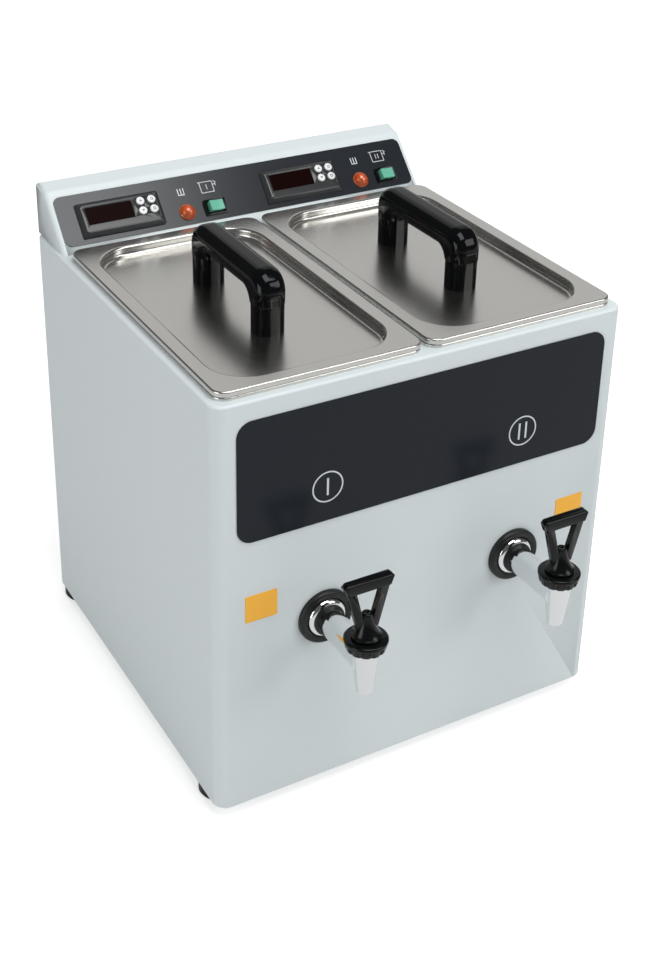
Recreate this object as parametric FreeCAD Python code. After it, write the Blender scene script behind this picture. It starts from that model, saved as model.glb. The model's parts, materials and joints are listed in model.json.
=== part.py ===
"""Two-tank paraffin dispenser for a bench, in millimetres.

The casing stands on four feet, carries two lidded wax tanks side by side, a sloped
control head along its back edge and two spring-closed taps on its front.
X runs to the right along the front, Y runs to the back and Z runs up.
The origin is the middle of the whole footprint, on the surface it stands on.
"""

import FreeCAD
import Part
import math
import os

from FreeCAD import Vector

# Casing
CASE_H = 341.0
SHEET = 1.2
CORNER_R = 11.0
TOP_R = 2.2
BOTTOM_LIP = 34.0
BACK_LIP = 15.0
SHEET_GAP = 0.4

# Feet
FOOT_D = 28.0
FOOT_H = 12.0
FOOT_TAPER = 2.0
FOOT_TAPER_H = 3.0
FOOT_FROM_SIDE = 14.6
FOOT_FROM_FRONT = 34.0
FOOT_FROM_BACK = 17.0
FOOT_SCREW_D = 5.0
FOOT_SCREW_HEAD_D = 10.0
FOOT_SCREW_HEAD_H = 3.0
FOOT_SCREW_GRIP = 5.0
SCREW_HEAD_EDGE = 1.0
FOOT_RECESS = 6.0

# Tanks: two quarter-size catering pans
PAN_W = 162.0
PAN_L = 265.0
PAN_DEPTH = 150.0
PAN_T = 0.8
PAN_CORNER_R = 10.0
PAN_FLANGE = 11.0
PAN_BODY_R = 31.0
PAN_DRAFT = 6.0
PAN_COVE = 12.0
PAN_LIP = 2.6
PAN_GAP = 4.3
PAN_FROM_SIDE = 5.85
PAN_FROM_FRONT = 6.4
PAN_FROM_HEAD = 5.7
PAN_HOLE_GAP = 1.4
PAN_EDGE_R = 1.2

# Lids
LID_T = 0.8
LID_SKIRT = 3.9
LID_SEAT = 0.3
LID_BORDER = 12.5
LID_WELL_R = 30.0
LID_WELL_DEPTH = 8.0
LID_ROLL_R = 2.4
LID_FLOOR_R = 3.0
LID_EDGE_R = 1.3

# Lid handles
GRIP_PITCH = 97.5
GRIP_W = 24.0
GRIP_DEPTH = 23.0
GRIP_H = 48.0
GRIP_BAR = 20.0
POST_H = 22.5
POST_STEP = 0.5
GRIP_OUTER_R = 17.0
GRIP_INNER_R = 9.0
GRIP_EDGE_R = 9.4
GRIP_SCREW_D = 5.0
GRIP_SCREW_HEAD_D = 9.5
GRIP_SCREW_HEAD_H = 2.6
GRIP_SCREW_LENGTH = 16.0
SCREW_FIT = 0.1

# Insulation, heaters and sensors round the tanks
HEATER_T = 1.5
HEATER_UP = 18.0
HEATER_H = 80.0
WOOL_PARTING = 3.3
WOOL_INSET = 1.0
WOOL_R = 18.0
WOOL_FLOOR = 10.0
WOOL_GAP = 8.0
SENSOR_D = 6.0
SENSOR_L = 34.0
SENSOR_BACK = 40.0

# Control head
HEAD_SIDE_INSET = 3.0
HEAD_FOOT = 56.9
HEAD_ANGLE = 46.3
HEAD_BACK_H = 45.0
HEAD_TOP_RISE = 4.4
HEAD_TOP_DEPTH = 18.2
HEAD_EDGE_R = 4.0
HEAD_WELL_INSET = 9.0

# Thin printed overlays
OVERLAY_T = 0.8
HEAD_OVERLAY_MARGIN = 7.7
HEAD_OVERLAY_H = 43.8
HEAD_OVERLAY_R = 6.0
HEAD_OVERLAY_UP = 6.2
FRONT_OVERLAY_MARGIN = 16.4
FRONT_OVERLAY_H = 95.5
FRONT_OVERLAY_R = 12.0
FRONT_OVERLAY_DROP = 14.9
PATCH_W = 25.2
PATCH_H = 22.0
PATCH_T = 0.4
PATCH_R = 0.8
PATCH_FROM_SIDE = 35.2
PATCH_ABOVE_TAP = 25.7

# Controllers, measured from the tank's middle and up the head's slope
CTL_W = 72.0
CTL_H = 30.0
CTL_PROUD = 4.5
CTL_BEVEL = 3.4
CTL_RIM = 1.2
CTL_R = 1.5
CTL_X = -27.6
CTL_UP = 19.4
CTL_BODY_W = 69.0
CTL_BODY_H = 27.5
CTL_BODY_DEPTH = 32.0
CTL_FIT = 0.4
WINDOW_W = 40.0
WINDOW_H = 15.0
WINDOW_T = 1.2
WINDOW_R = 0.6
WINDOW_FIT = 0.1
WINDOW_SINK = 0.2
WINDOW_X = -9.6
WINDOW_UP = 1.9
BUTTON_D = 7.0
BUTTON_GAP = 0.35
BUTTON_PROUD = 1.2
BUTTON_DEPTH = 1.8
BUTTON_TRAVEL = 0.8
BUTTON_EDGE = 0.6
BUTTON_CROWN = 0.1
BUTTON_X = (18.2, 28.0)
BUTTON_UP = (-1.4, 7.2)

# Lamps
LAMP_D = 14.0
LAMP_DOME = 5.5
LAMP_RIM = 1.0
LAMP_STEP = 0.8
LAMP_BODY_D = 11.0
LAMP_BODY_L = 20.0
LAMP_X = 29.2
LAMP_UP = 11.0

# Rocker switches
SWITCH_W = 19.4
SWITCH_H = 13.6
SWITCH_FLANGE = 2.0
SWITCH_R = 1.2
SWITCH_X = 54.6
SWITCH_UP = 11.4
SWITCH_BODY_W = 17.6
SWITCH_BODY_H = 11.8
SWITCH_BODY_DEPTH = 16.0
SWITCH_HOLE_W = 14.6
SWITCH_HOLE_H = 9.8
ROCKER_W = 12.2
ROCKER_H = 8.8
ROCKER_DEPTH = 5.0
ROCKER_PROUD = 2.2
ROCKER_TILT = 6.0
ROCKER_PIVOT_DEPTH = 2.5
ROCKER_AXLE_D = 2.0
ROCKER_SIDE = 1.2
ROCKER_TAPER = 3.0
ROCKER_POCKET = 9.0

# Taps: the axis of the spout stands in front of the casing
TAP_BELOW_TANK = 43.8
TAP_REACH = 57.6
SHANK_D = 20.8
SHANK_BORE_D = 8.0
SHANK_HOLE_GAP = 0.3
SHANK_INSIDE = 17.0
SPOUT_TOP_UP = 11.3
SPOUT_TOP_D = 21.3
SPOUT_DOWN = 27.0
SPOUT_TIP_D = 12.5
SPOUT_TIP_R = 1.0
SPOUT_BORE_D = 9.0
CHAMBER_D = 13.2
CHAMBER_DOWN = 5.5
NECK_D = 20.0
NECK_H = 6.4
BONNET_D = 31.8
BONNET_FOOT_D = 28.6
BONNET_H = 8.7
BONNET_EDGE = 1.2
BONNET_NOTCHES = 12
BONNET_NOTCH_D = 4.0
BONNET_NOTCH_IN = 0.7
BONNET_NOTCH_H = 5.6
NECK_FIT = 0.1
BONNET_ROOF_GAP = 0.3
STEM_D = 6.0
STEM_FIT = 0.1
STEM_HEAD = 2.8
STEM_EDGE = 1.0
STEM_BARB = 1.0
SEAT_GAP = 0.3
CUP_D = 12.0
CUP_H = 9.0
CUP_ROUND = 2.5
CUP_WALL = 1.6
SPRING_WIRE = 1.0
SPRING_MEAN_D = 9.2
SPRING_TURNS = 5
NUT_FLATS = 30.0
NUT_T = 8.0
RING_D = 43.5
RING_T = 4.6
RING_EDGE_R = 2.2
RING_INNER_EDGE = 1.0
BELL_D = 31.6
BELL_H = 6.6
BELL_TIP_D = 24.0
BELL_RIM = 1.4
BELL_EDGE = 0.4
BELL_WAIST_OUT = 2.9
BELL_WAIST_UP = 4.9
RING_FIT = 0.1
SEAL_D = 24.6
SEAL_H = 2.4
SEAL_EDGE = 0.8

# Tap levers
LEVER_GAP = 0.3
LEVER_FOOT_D = 22.0
LEVER_FOOT_R = 2.0
LEVER_STEP = 1.2
LEVER_STEP_H = 1.0
LEVER_WAIST_OUT = 1.4
LEVER_WAIST_UP = 12.4
LEVER_TIP_D = 8.0
LEVER_TIP_EDGE = 0.8
LEVER_DIMPLE_D = 3.2
LEVER_DIMPLE = 1.0
LEVER_HUB_H = 20.0
LEVER_PIVOT_UP = 7.7
LEVER_TILT = 30.0
LEVER_SLOT_GAP = 0.35
LEVER_STRUT_T = 5.0
LEVER_STRUT_W = 6.0
LEVER_STRUT_LOW = 5.0
LEVER_STRUT_HIGH = 13.2
LEVER_STRUT_START = 8.0
LEVER_BAR_UP = 38.9
LEVER_BAR_H = 9.4
LEVER_BAR_TOP_W = 39.6
LEVER_BAR_FOOT_W = 34.4
LEVER_BAR_T = 8.0
LEVER_BAR_EDGE = 1.4
LEVER_BAR_CORNER = 2.5
PIN_D = 2.5
PIN_FIT = 0.05
PIN_L = 13.0

# Outlet pipes between tanks and taps
PIPE_D = 20.0
PIPE_BORE_D = 16.0
PIPE_BEND = 20.0
PIPE_FLANGE_D = 34.0
PIPE_FLANGE_T = 3.0
PIPE_FROM_FRONT = 49.0
PIPE_HOLE_GAP = 0.5

# Back panel, mains inlet and power board
BACK_OVERLAP = 9.0
BACK_SCREW_D = 3.2
BACK_SCREW_HEAD_D = 6.6
BACK_SCREW_HEAD_H = 2.0
BACK_SCREW_L = 5.0
BACK_SCREW_INSET = 4.5
BACK_SCREW_FIT = 0.1
VENT_W = 46.0
VENT_H = 4.0
VENT_PITCH = 10.0
VENT_ROWS = 6
VENT_COLUMNS = 3
VENT_COLUMN_PITCH = 60.0
VENT_END = 0.1
VENT_DROP = 96.0
BASE_VENT_PITCH = 20.0
INLET_FROM_SIDE = 65.0
INLET_UP = 48.0
INLET_FLANGE_W = 50.0
INLET_FLANGE_H = 25.0
INLET_FLANGE_T = 2.5
INLET_FLANGE_R = 4.0
INLET_BODY_W = 28.0
INLET_BODY_H = 20.4
INLET_BODY_DEPTH = 24.0
INLET_BODY_R = 2.0
INLET_SOCKET_W = 24.4
INLET_SOCKET_H = 16.6
INLET_SOCKET_DEPTH = 17.0
INLET_SOCKET_CHAMFER = 4.5
INLET_SCREW_PITCH = 40.0
INLET_PIN_W = 4.0
INLET_PIN_T = 2.0
INLET_PIN_L = 14.0
INLET_PIN_PITCH = 7.0
INLET_PIN_DROP = 2.0
BOARD_W = 130.0
BOARD_D = 90.0
BOARD_T = 1.6
BOARD_UP = 8.0
BOARD_POST_D = 6.0
BOARD_X = 60.0
BOARD_BACK = 70.0
RELAY_W = 20.0
RELAY_D = 28.0
RELAY_H = 24.0
RELAY_PITCH = 40.0
TERMINAL_W = 90.0
TERMINAL_D = 12.0
TERMINAL_H = 14.0

# Places worked out from the sizes above
CASE_W = 2 * (PAN_W + PAN_FROM_SIDE) + PAN_GAP
CASE_D = PAN_FROM_FRONT + PAN_L + PAN_FROM_HEAD + HEAD_FOOT
CASE_Z = FOOT_H
DECK_Z = CASE_Z + CASE_H
FRONT_Y = -CASE_D / 2
BACK_Y = CASE_D / 2
TANK_X = (PAN_W + PAN_GAP) / 2
SIDES = (-1, 1)
PAN_Y = FRONT_Y + PAN_FROM_FRONT + PAN_L / 2
PAN_TOP_Z = DECK_Z + PAN_LIP
PAN_OPEN_W = PAN_W - 2 * PAN_FLANGE
PAN_OPEN_L = PAN_L - 2 * PAN_FLANGE
PAN_FLOOR_Z = PAN_TOP_Z - PAN_DEPTH
PAN_UNDER_Z = PAN_FLOOR_Z - PAN_T
LID_FOOT_Z = PAN_TOP_Z + LID_SEAT
LID_TOP_Z = LID_FOOT_Z + LID_SKIRT
LID_FLOOR_Z = LID_TOP_Z - LID_WELL_DEPTH
HEAD_FRONT_Y = BACK_Y - HEAD_FOOT
TAP_Y = FRONT_Y - TAP_REACH
TAP_Z = PAN_UNDER_Z - TAP_BELOW_TANK
OUTLET_Y = FRONT_Y + PIPE_FROM_FRONT
INLET_X = INLET_FROM_SIDE - CASE_W / 2
INLET_Z = CASE_Z + INLET_UP
OVER = 1.0
BACKWARD = Vector(0, 1, 0)


def box(x0, x1, y0, y1, z0, z1):
    """A block between two corners."""
    return Part.makeBox(x1 - x0, y1 - y0, z1 - z0, Vector(x0, y0, z0))


def rod(diameter, height, foot, direction=Vector(0, 0, 1)):
    """A round bar that starts at foot and runs along direction."""
    return Part.makeCylinder(diameter / 2, height, foot, direction)


def outline(start, *steps):
    """A closed flat wire; a step is the next point, or the middle and end of an arc."""
    edges = []
    here = start
    for step in steps:
        if isinstance(step, tuple):
            middle, end = step
            edges.append(Part.Arc(here, middle, end).toShape())
        else:
            end = step
            edges.append(Part.LineSegment(here, end).toShape())
        here = end
    if here.distanceToPoint(start) > 1e-6:
        edges.append(Part.LineSegment(here, start).toShape())
    return Part.Wire(edges)


def rounded(width, length, radius, z):
    """A rounded rectangle about the Z axis at height z."""
    x = width / 2
    y = length / 2
    bow = radius * (1 - math.sqrt(0.5))
    return outline(
        Vector(radius - x, -y, z),
        Vector(x - radius, -y, z),
        (Vector(x - bow, bow - y, z), Vector(x, radius - y, z)),
        Vector(x, y - radius, z),
        (Vector(x - bow, y - bow, z), Vector(x - radius, y, z)),
        Vector(radius - x, y, z),
        (Vector(bow - x, y - bow, z), Vector(-x, y - radius, z)),
        Vector(-x, radius - y, z),
        (Vector(bow - x, bow - y, z), Vector(radius - x, -y, z)),
    )


def slab(width, length, radius, z0, z1):
    """An upright block with rounded corners about the Z axis."""
    return Part.Face(rounded(width, length, radius, z0)).extrude(Vector(0, 0, z1 - z0))


def turned(*steps):
    """A solid turned about the Z axis from a closed outline of radius and height."""
    start, rest = steps[0], steps[1:]
    face = Part.Face(outline(start, *rest))
    return face.revolve(Vector(0, 0, 0), Vector(0, 0, 1), 360)


def rz(radius, height):
    """A point of a turned outline."""
    return Vector(radius, 0, height)


def dome(radius, height, foot):
    """The rounded end of a turned outline, from radius at foot up to the axis."""
    bend = (radius * radius + height * height) / (2 * height)
    half = math.asin(radius / bend) / 2
    centre = foot + height - bend
    return rz(bend * math.sin(half), centre + bend * math.cos(half)), rz(0, foot + height)


def moved(shape, x=0.0, y=0.0, z=0.0):
    """A copy of the shape, shifted."""
    copy = shape.copy()
    copy.translate(Vector(x, y, z))
    return copy


def facing_front(shape):
    """Turns a solid made about Z so that its +Z end points to the back."""
    copy = shape.copy()
    copy.rotate(Vector(0, 0, 0), Vector(1, 0, 0), -90)
    return copy


def edges_at(shape, z):
    """The shape's edges that lie wholly at one height."""
    found = []
    for edge in shape.Edges:
        span = edge.BoundBox
        if abs(span.ZMin - z) < 1e-4 and abs(span.ZMax - z) < 1e-4:
            found.append(edge)
    return found


def both(shape, y=0.0, z=0.0):
    """The same piece for the left and right tank, as one group."""
    return Part.makeCompound([moved(shape, side * TANK_X, y, z) for side in SIDES])


def one_solid(shape):
    """The single solid of a cut or fused shape, with its split faces joined."""
    clean = shape.removeSplitter()
    return clean.Solids[0] if len(clean.Solids) == 1 else clean


# Casing

def outer_casing():
    """Folded sheet: front, sides, deck with two pan holes, back frame and bottom lips."""
    skin = slab(CASE_W, CASE_D, CORNER_R, CASE_Z, DECK_Z)
    skin = skin.makeFillet(TOP_R, edges_at(skin, DECK_Z))
    inner_w = CASE_W - 2 * SHEET
    inner_d = CASE_D - 2 * SHEET
    room = slab(inner_w, inner_d, CORNER_R - SHEET, CASE_Z + SHEET, DECK_Z - SHEET)
    room = room.makeFillet(TOP_R - SHEET, edges_at(room, DECK_Z - SHEET))
    skin = skin.cut(room)
    lip_w = CASE_W - 2 * BOTTOM_LIP
    lip_d = CASE_D - 2 * BOTTOM_LIP
    skin = skin.cut(slab(lip_w, lip_d, CORNER_R, CASE_Z - OVER, CASE_Z + SHEET + OVER))
    half = CASE_W / 2 - BACK_LIP
    skin = skin.cut(
        box(-half, half, BACK_Y - SHEET - OVER, BACK_Y + OVER, CASE_Z + BACK_LIP, DECK_Z - BACK_LIP)
    )
    hole = pan_section(PAN_TOP_Z, PAN_T + PAN_HOLE_GAP)
    cut = Part.Face(hole).extrude(Vector(0, 0, -PAN_LIP - SHEET - OVER))
    skin = skin.cut(both(cut, PAN_Y))
    skin = skin.cut(head_well(DECK_Z - SHEET - OVER, DECK_Z + OVER))
    start = Vector(0, FRONT_Y - SHEET, TAP_Z)
    skin = skin.cut(both(rod(SHANK_D + 2 * SHANK_HOLE_GAP, 4 * SHEET, start, BACKWARD)))
    for place in foot_places():
        skin = skin.cut(rod(FOOT_SCREW_D + 2 * SCREW_FIT, 3 * SHEET, place + Vector(0, 0, -SHEET)))
    for place in back_screw_places():
        skin = skin.cut(back_screw_hole(place))
    return one_solid(skin)


def foot_places():
    """The middle of each foot, at the casing's lower face."""
    x = CASE_W / 2 - FOOT_FROM_SIDE
    front = FRONT_Y + FOOT_FROM_FRONT
    back = BACK_Y - FOOT_FROM_BACK
    return [Vector(side * x, y, CASE_Z) for side in SIDES for y in (front, back)]


def feet():
    """Four soft feet, each with a recess for its screw."""
    radius = FOOT_D / 2
    bore = FOOT_SCREW_D / 2 + SCREW_FIT
    recess = FOOT_SCREW_HEAD_D / 2 + OVER
    foot = turned(
        rz(bore, 0), rz(radius, 0), rz(radius, FOOT_TAPER_H - FOOT_H), rz(radius - FOOT_TAPER, -FOOT_H),
        rz(recess, -FOOT_H), rz(recess, -FOOT_H + FOOT_RECESS), rz(bore, -FOOT_H + FOOT_RECESS),
    )
    return Part.makeCompound([moved(foot, p.x, p.y, p.z) for p in foot_places()])


def foot_screws():
    """The screws that hold the feet to the bottom lip and base plate."""
    shank = FOOT_SCREW_D / 2
    head = FOOT_SCREW_HEAD_D / 2
    low = -FOOT_H + FOOT_RECESS
    face = low - FOOT_SCREW_HEAD_H
    tip = 2 * SHEET + FOOT_SCREW_GRIP
    screw = turned(
        rz(0, face), rz(head - SCREW_HEAD_EDGE, face), rz(head, face + SCREW_HEAD_EDGE),
        rz(head, low), rz(shank, low), rz(shank, tip), rz(0, tip),
    )
    return Part.makeCompound([moved(screw, p.x, p.y, p.z) for p in foot_places()])


def base_plate():
    """The floor sheet, laid on the casing's bottom lips, with a block of air slots."""
    margin = SHEET + SHEET_GAP
    plate = slab(
        CASE_W - 2 * margin, CASE_D - 2 * margin, CORNER_R - margin, CASE_Z + SHEET, CASE_Z + 2 * SHEET
    )
    for place in foot_places():
        plate = plate.cut(rod(FOOT_SCREW_D + 2 * SCREW_FIT, 4 * SHEET, place))
    for column in (-1, 1):
        for row in range(VENT_ROWS):
            y = (row - (VENT_ROWS - 1) / 2) * BASE_VENT_PITCH
            plate = plate.cut(moved(air_slot(4 * SHEET), column * VENT_COLUMN_PITCH, y, CASE_Z))
    return one_solid(plate)


def air_slot(depth):
    """The cutter of one round-ended air slot, its long side along X."""
    return slab(VENT_W, VENT_H, VENT_H / 2 - VENT_END, 0, depth)


def back_screw_places():
    """Screw centres round the back panel, on the panel's inner face."""
    x = CASE_W / 2 - BACK_LIP + BACK_SCREW_INSET
    low = CASE_Z + BACK_LIP - BACK_SCREW_INSET
    high = DECK_Z - BACK_LIP + BACK_SCREW_INSET
    middle = (low + high) / 2
    sides = [Vector(side * x, BACK_Y, z) for side in SIDES for z in (low, middle, high)]
    return sides + [Vector(0, BACK_Y, low), Vector(0, BACK_Y, high)]


def inlet_screw_places():
    """Screw centres of the inlet's flange, on the back panel's inner face."""
    x = INLET_SCREW_PITCH / 2
    return [Vector(INLET_X + side * x, BACK_Y, INLET_Z) for side in SIDES]


def back_screw_hole(place):
    """A clearance hole for one back panel or inlet screw."""
    start = place + Vector(0, -4 * SHEET, 0)
    return rod(BACK_SCREW_D + 2 * BACK_SCREW_FIT, 8 * SHEET, start, BACKWARD)


def rear_panel():
    """The back sheet, outside the casing's back frame, with air slots and the inlet hole."""
    half = CASE_W / 2 - BACK_LIP + BACK_OVERLAP
    low = CASE_Z + BACK_LIP - BACK_OVERLAP
    high = DECK_Z - BACK_LIP + BACK_OVERLAP
    panel = box(-half, half, BACK_Y, BACK_Y + SHEET, low, high)
    for place in back_screw_places() + inlet_screw_places():
        panel = panel.cut(back_screw_hole(place))
    slots = []
    for column in range(VENT_COLUMNS):
        for row in range(VENT_ROWS):
            x = (column - (VENT_COLUMNS - 1) / 2) * VENT_COLUMN_PITCH
            slot = facing_front(air_slot(3 * SHEET))
            slots.append(moved(slot, x, BACK_Y - SHEET, DECK_Z - VENT_DROP - row * VENT_PITCH))
    panel = panel.cut(Part.makeCompound(slots))
    half_w = INLET_BODY_W / 2
    half_h = INLET_BODY_H / 2
    inlet = box(-half_w, half_w, -SHEET, 2 * SHEET, -half_h, half_h)
    return one_solid(panel.cut(moved(inlet, INLET_X, BACK_Y, INLET_Z)))


def rear_panel_screws():
    """Dome-headed screws round the back panel and through the inlet's flange."""
    shank = BACK_SCREW_D / 2
    screw = facing_front(
        turned(
            rz(0, -BACK_SCREW_L), rz(shank, -BACK_SCREW_L), rz(shank, 0),
            rz(BACK_SCREW_HEAD_D / 2, 0), dome(BACK_SCREW_HEAD_D / 2, BACK_SCREW_HEAD_H, 0),
        )
    )
    on_panel = [moved(screw, p.x, p.y + SHEET, p.z) for p in back_screw_places()]
    flange = SHEET + INLET_FLANGE_T
    on_inlet = [moved(screw, p.x, p.y + flange, p.z) for p in inlet_screw_places()]
    return Part.makeCompound(on_panel + on_inlet)


# Mains inlet

def inlet_body():
    """Recessed three-pin appliance inlet with a screwed flange."""
    flange = slab(INLET_FLANGE_W, INLET_FLANGE_H, INLET_FLANGE_R, SHEET, SHEET + INLET_FLANGE_T)
    depth = INLET_BODY_DEPTH
    side_fit = 2 * SHEET_GAP
    shell = slab(INLET_BODY_W - side_fit, INLET_BODY_H - side_fit, INLET_BODY_R, -depth, SHEET)
    body = flange.fuse(shell)
    x = INLET_SOCKET_W / 2
    y = INLET_SOCKET_H / 2
    cut = INLET_SOCKET_CHAMFER
    mouth = SHEET + INLET_FLANGE_T
    floor = mouth - INLET_SOCKET_DEPTH
    socket = outline(
        Vector(-x, y, floor), Vector(-x, cut - y, floor), Vector(cut - x, -y, floor),
        Vector(x - cut, -y, floor), Vector(x, cut - y, floor), Vector(x, y, floor),
    )
    body = body.cut(Part.Face(socket).extrude(Vector(0, 0, INLET_SOCKET_DEPTH + OVER)))
    body = moved(facing_front(body), INLET_X, BACK_Y, INLET_Z)
    for place in inlet_screw_places():
        body = body.cut(back_screw_hole(place))
    return one_solid(body)


def inlet_pins():
    """The inlet's three flat pins, standing on the socket's floor."""
    floor = SHEET + INLET_FLANGE_T - INLET_SOCKET_DEPTH
    pins = []
    for x, y in ((-INLET_PIN_PITCH, 1), (0, -1), (INLET_PIN_PITCH, 1)):
        half_t = INLET_PIN_T / 2
        half_w = INLET_PIN_W / 2
        pin = box(-half_t, half_t, -half_w, half_w, floor, floor + INLET_PIN_L)
        pins.append(moved(pin, x, y * INLET_PIN_DROP))
    group = facing_front(Part.makeCompound(pins))
    return moved(group, INLET_X, BACK_Y, INLET_Z)


def power_board():
    """Circuit board on four posts, with two relays and a terminal strip."""
    z = CASE_Z + 2 * SHEET
    board = box(-BOARD_W / 2, BOARD_W / 2, -BOARD_D / 2, BOARD_D / 2, BOARD_UP, BOARD_UP + BOARD_T)
    inset = BOARD_POST_D
    for sx in SIDES:
        for sy in SIDES:
            foot = Vector(sx * (BOARD_W / 2 - inset), sy * (BOARD_D / 2 - inset), 0)
            board = board.fuse(rod(BOARD_POST_D, BOARD_UP, foot))
    top = BOARD_UP + BOARD_T
    for side in SIDES:
        relay = box(-RELAY_W / 2, RELAY_W / 2, -RELAY_D / 2, RELAY_D / 2, top, top + RELAY_H)
        board = board.fuse(moved(relay, side * RELAY_PITCH / 2, 0))
    strip_y = BOARD_D / 2 - TERMINAL_D
    strip = box(-TERMINAL_W / 2, TERMINAL_W / 2, strip_y, strip_y + TERMINAL_D, top, top + TERMINAL_H)
    return one_solid(moved(board.fuse(strip), BOARD_X, BACK_Y - BOARD_BACK, z))


# Tanks

def pan_section(z, grow):
    """The tank wall's outline at height z, set out by grow from its inner face."""
    down = (PAN_TOP_Z - z) / PAN_DEPTH * PAN_DRAFT
    width = PAN_OPEN_W - 2 * down + 2 * grow
    length = PAN_OPEN_L - 2 * down + 2 * grow
    return rounded(width, length, PAN_BODY_R - down + grow, z)


def pan_body(grow, floor_z):
    """The tapered tank body with its rounded floor edge, solid, set out by grow."""
    body = Part.makeLoft([pan_section(PAN_TOP_Z, grow), pan_section(floor_z, grow)], True, True)
    return body.makeFillet(PAN_COVE + grow, edges_at(body, floor_z))


def tank():
    """Stainless pan: turned-down flange lip, tapered body, coved floor and outlet hole."""
    cap = slab(PAN_W, PAN_L, PAN_CORNER_R, DECK_Z, PAN_TOP_Z)
    cap = cap.makeFillet(PAN_EDGE_R, edges_at(cap, PAN_TOP_Z))
    under = slab(
        PAN_W - 2 * PAN_T, PAN_L - 2 * PAN_T, PAN_CORNER_R - PAN_T, DECK_Z - OVER, PAN_TOP_Z - PAN_T
    )
    pan = cap.cut(under).fuse(pan_body(PAN_T, PAN_UNDER_Z))
    pan = pan.cut(pan_body(0, PAN_FLOOR_Z))
    outlet = rod(PIPE_BORE_D, 4 * PAN_T, Vector(0, OUTLET_Y - PAN_Y, PAN_UNDER_Z - PAN_T))
    return one_solid(pan.cut(outlet))


def tank_heaters():
    """Heating bands round the lower half of both tanks."""
    low = PAN_FLOOR_Z + HEATER_UP
    high = low + HEATER_H
    grow = PAN_T + HEATER_T
    outer = Part.makeLoft([pan_section(high, grow), pan_section(low, grow)], True, True)
    inner = Part.makeLoft([pan_section(high, PAN_T), pan_section(low, PAN_T)], True, True)
    return both(outer.cut(inner), PAN_Y)


def tank_insulation():
    """Mineral wool boxes round both tanks, open at the top, cut for the outlet pipe."""
    low = PAN_UNDER_Z - WOOL_GAP - WOOL_FLOOR
    width = 2 * TANK_X - WOOL_PARTING
    wool = slab(width, PAN_L - 2 * WOOL_INSET, WOOL_R, low, DECK_Z - SHEET - SHEET_GAP)
    grow = PAN_T + HEATER_T
    inner = pan_section(PAN_TOP_Z, grow)
    base = pan_section(PAN_UNDER_Z - WOOL_GAP, grow)
    wool = wool.cut(Part.makeLoft([inner, base], True, True))
    hole = rod(PIPE_D + 2 * PIPE_HOLE_GAP, 2 * WOOL_FLOOR, Vector(0, OUTLET_Y - PAN_Y, low - OVER))
    return both(one_solid(wool.cut(hole)), PAN_Y)


def temperature_sensors():
    """Sensor bulbs that lie against the underside of both tanks."""
    start = Vector(-SENSOR_L / 2, SENSOR_BACK, PAN_UNDER_Z - SENSOR_D / 2)
    return both(rod(SENSOR_D, SENSOR_L, start, Vector(1, 0, 0)), PAN_Y)


def bent_pipe(diameter, stub, run):
    """A pipe's solid core: down, round a quarter bend, then to the front."""
    radius = diameter / 2
    down = Part.makeCylinder(radius, stub, Vector(0, 0, PIPE_BEND), Vector(0, 0, 1))
    bend = Part.makeTorus(PIPE_BEND, radius, Vector(0, 0, 0), Vector(1, 0, 0), 0, 360)
    reach = PIPE_BEND + radius
    quarter = bend.common(box(-reach, reach, 0, reach, -reach, 0))
    quarter.translate(Vector(0, -PIPE_BEND, PIPE_BEND))
    ahead = Part.makeCylinder(radius, run, Vector(0, -PIPE_BEND - run, 0), BACKWARD)
    return down.fuse(quarter).fuse(ahead)


def outlet_elbows():
    """The pipes that lead from the tank floors to the taps, flanged under the tank."""
    stub = PAN_UNDER_Z - TAP_Z - PIPE_BEND
    run = OUTLET_Y - PIPE_BEND - (FRONT_Y + SHANK_INSIDE)
    pipe = bent_pipe(PIPE_D, stub, run)
    flange = rod(PIPE_FLANGE_D, PIPE_FLANGE_T, Vector(0, 0, PIPE_BEND + stub - PIPE_FLANGE_T))
    pipe = pipe.fuse(flange)
    long_run = run + OVER
    bore = bent_pipe(PIPE_BORE_D, stub + OVER, long_run)
    return both(one_solid(pipe.cut(bore)), OUTLET_Y, TAP_Z)


# Lids

def within_border(edge):
    """True for an edge inside the middle line of the lid's flat border."""
    middle = edge.BoundBox.Center
    x = PAN_W / 2 - LID_BORDER / 2
    y = PAN_L / 2 - LID_BORDER / 2
    return abs(middle.x) < x and abs(middle.y) < y


def lid_block(shrink, drop, grow, roll, floor_r):
    """A block whose top has the lid's well: shrunk, lowered and widened for the underside."""
    top = LID_TOP_Z - drop
    floor = LID_FLOOR_Z - drop
    low = floor - 3 * LID_T
    block = slab(PAN_W - 2 * shrink, PAN_L - 2 * shrink, PAN_CORNER_R - shrink, low, top)
    well_w = PAN_W - 2 * LID_BORDER + 2 * grow
    well_l = PAN_L - 2 * LID_BORDER + 2 * grow
    well = slab(well_w, well_l, LID_WELL_R + grow, floor, top + OVER)
    well = well.makeFillet(floor_r, edges_at(well, floor))
    block = block.cut(well)
    return block.makeFillet(roll, [edge for edge in edges_at(block, top) if within_border(edge)])


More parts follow.
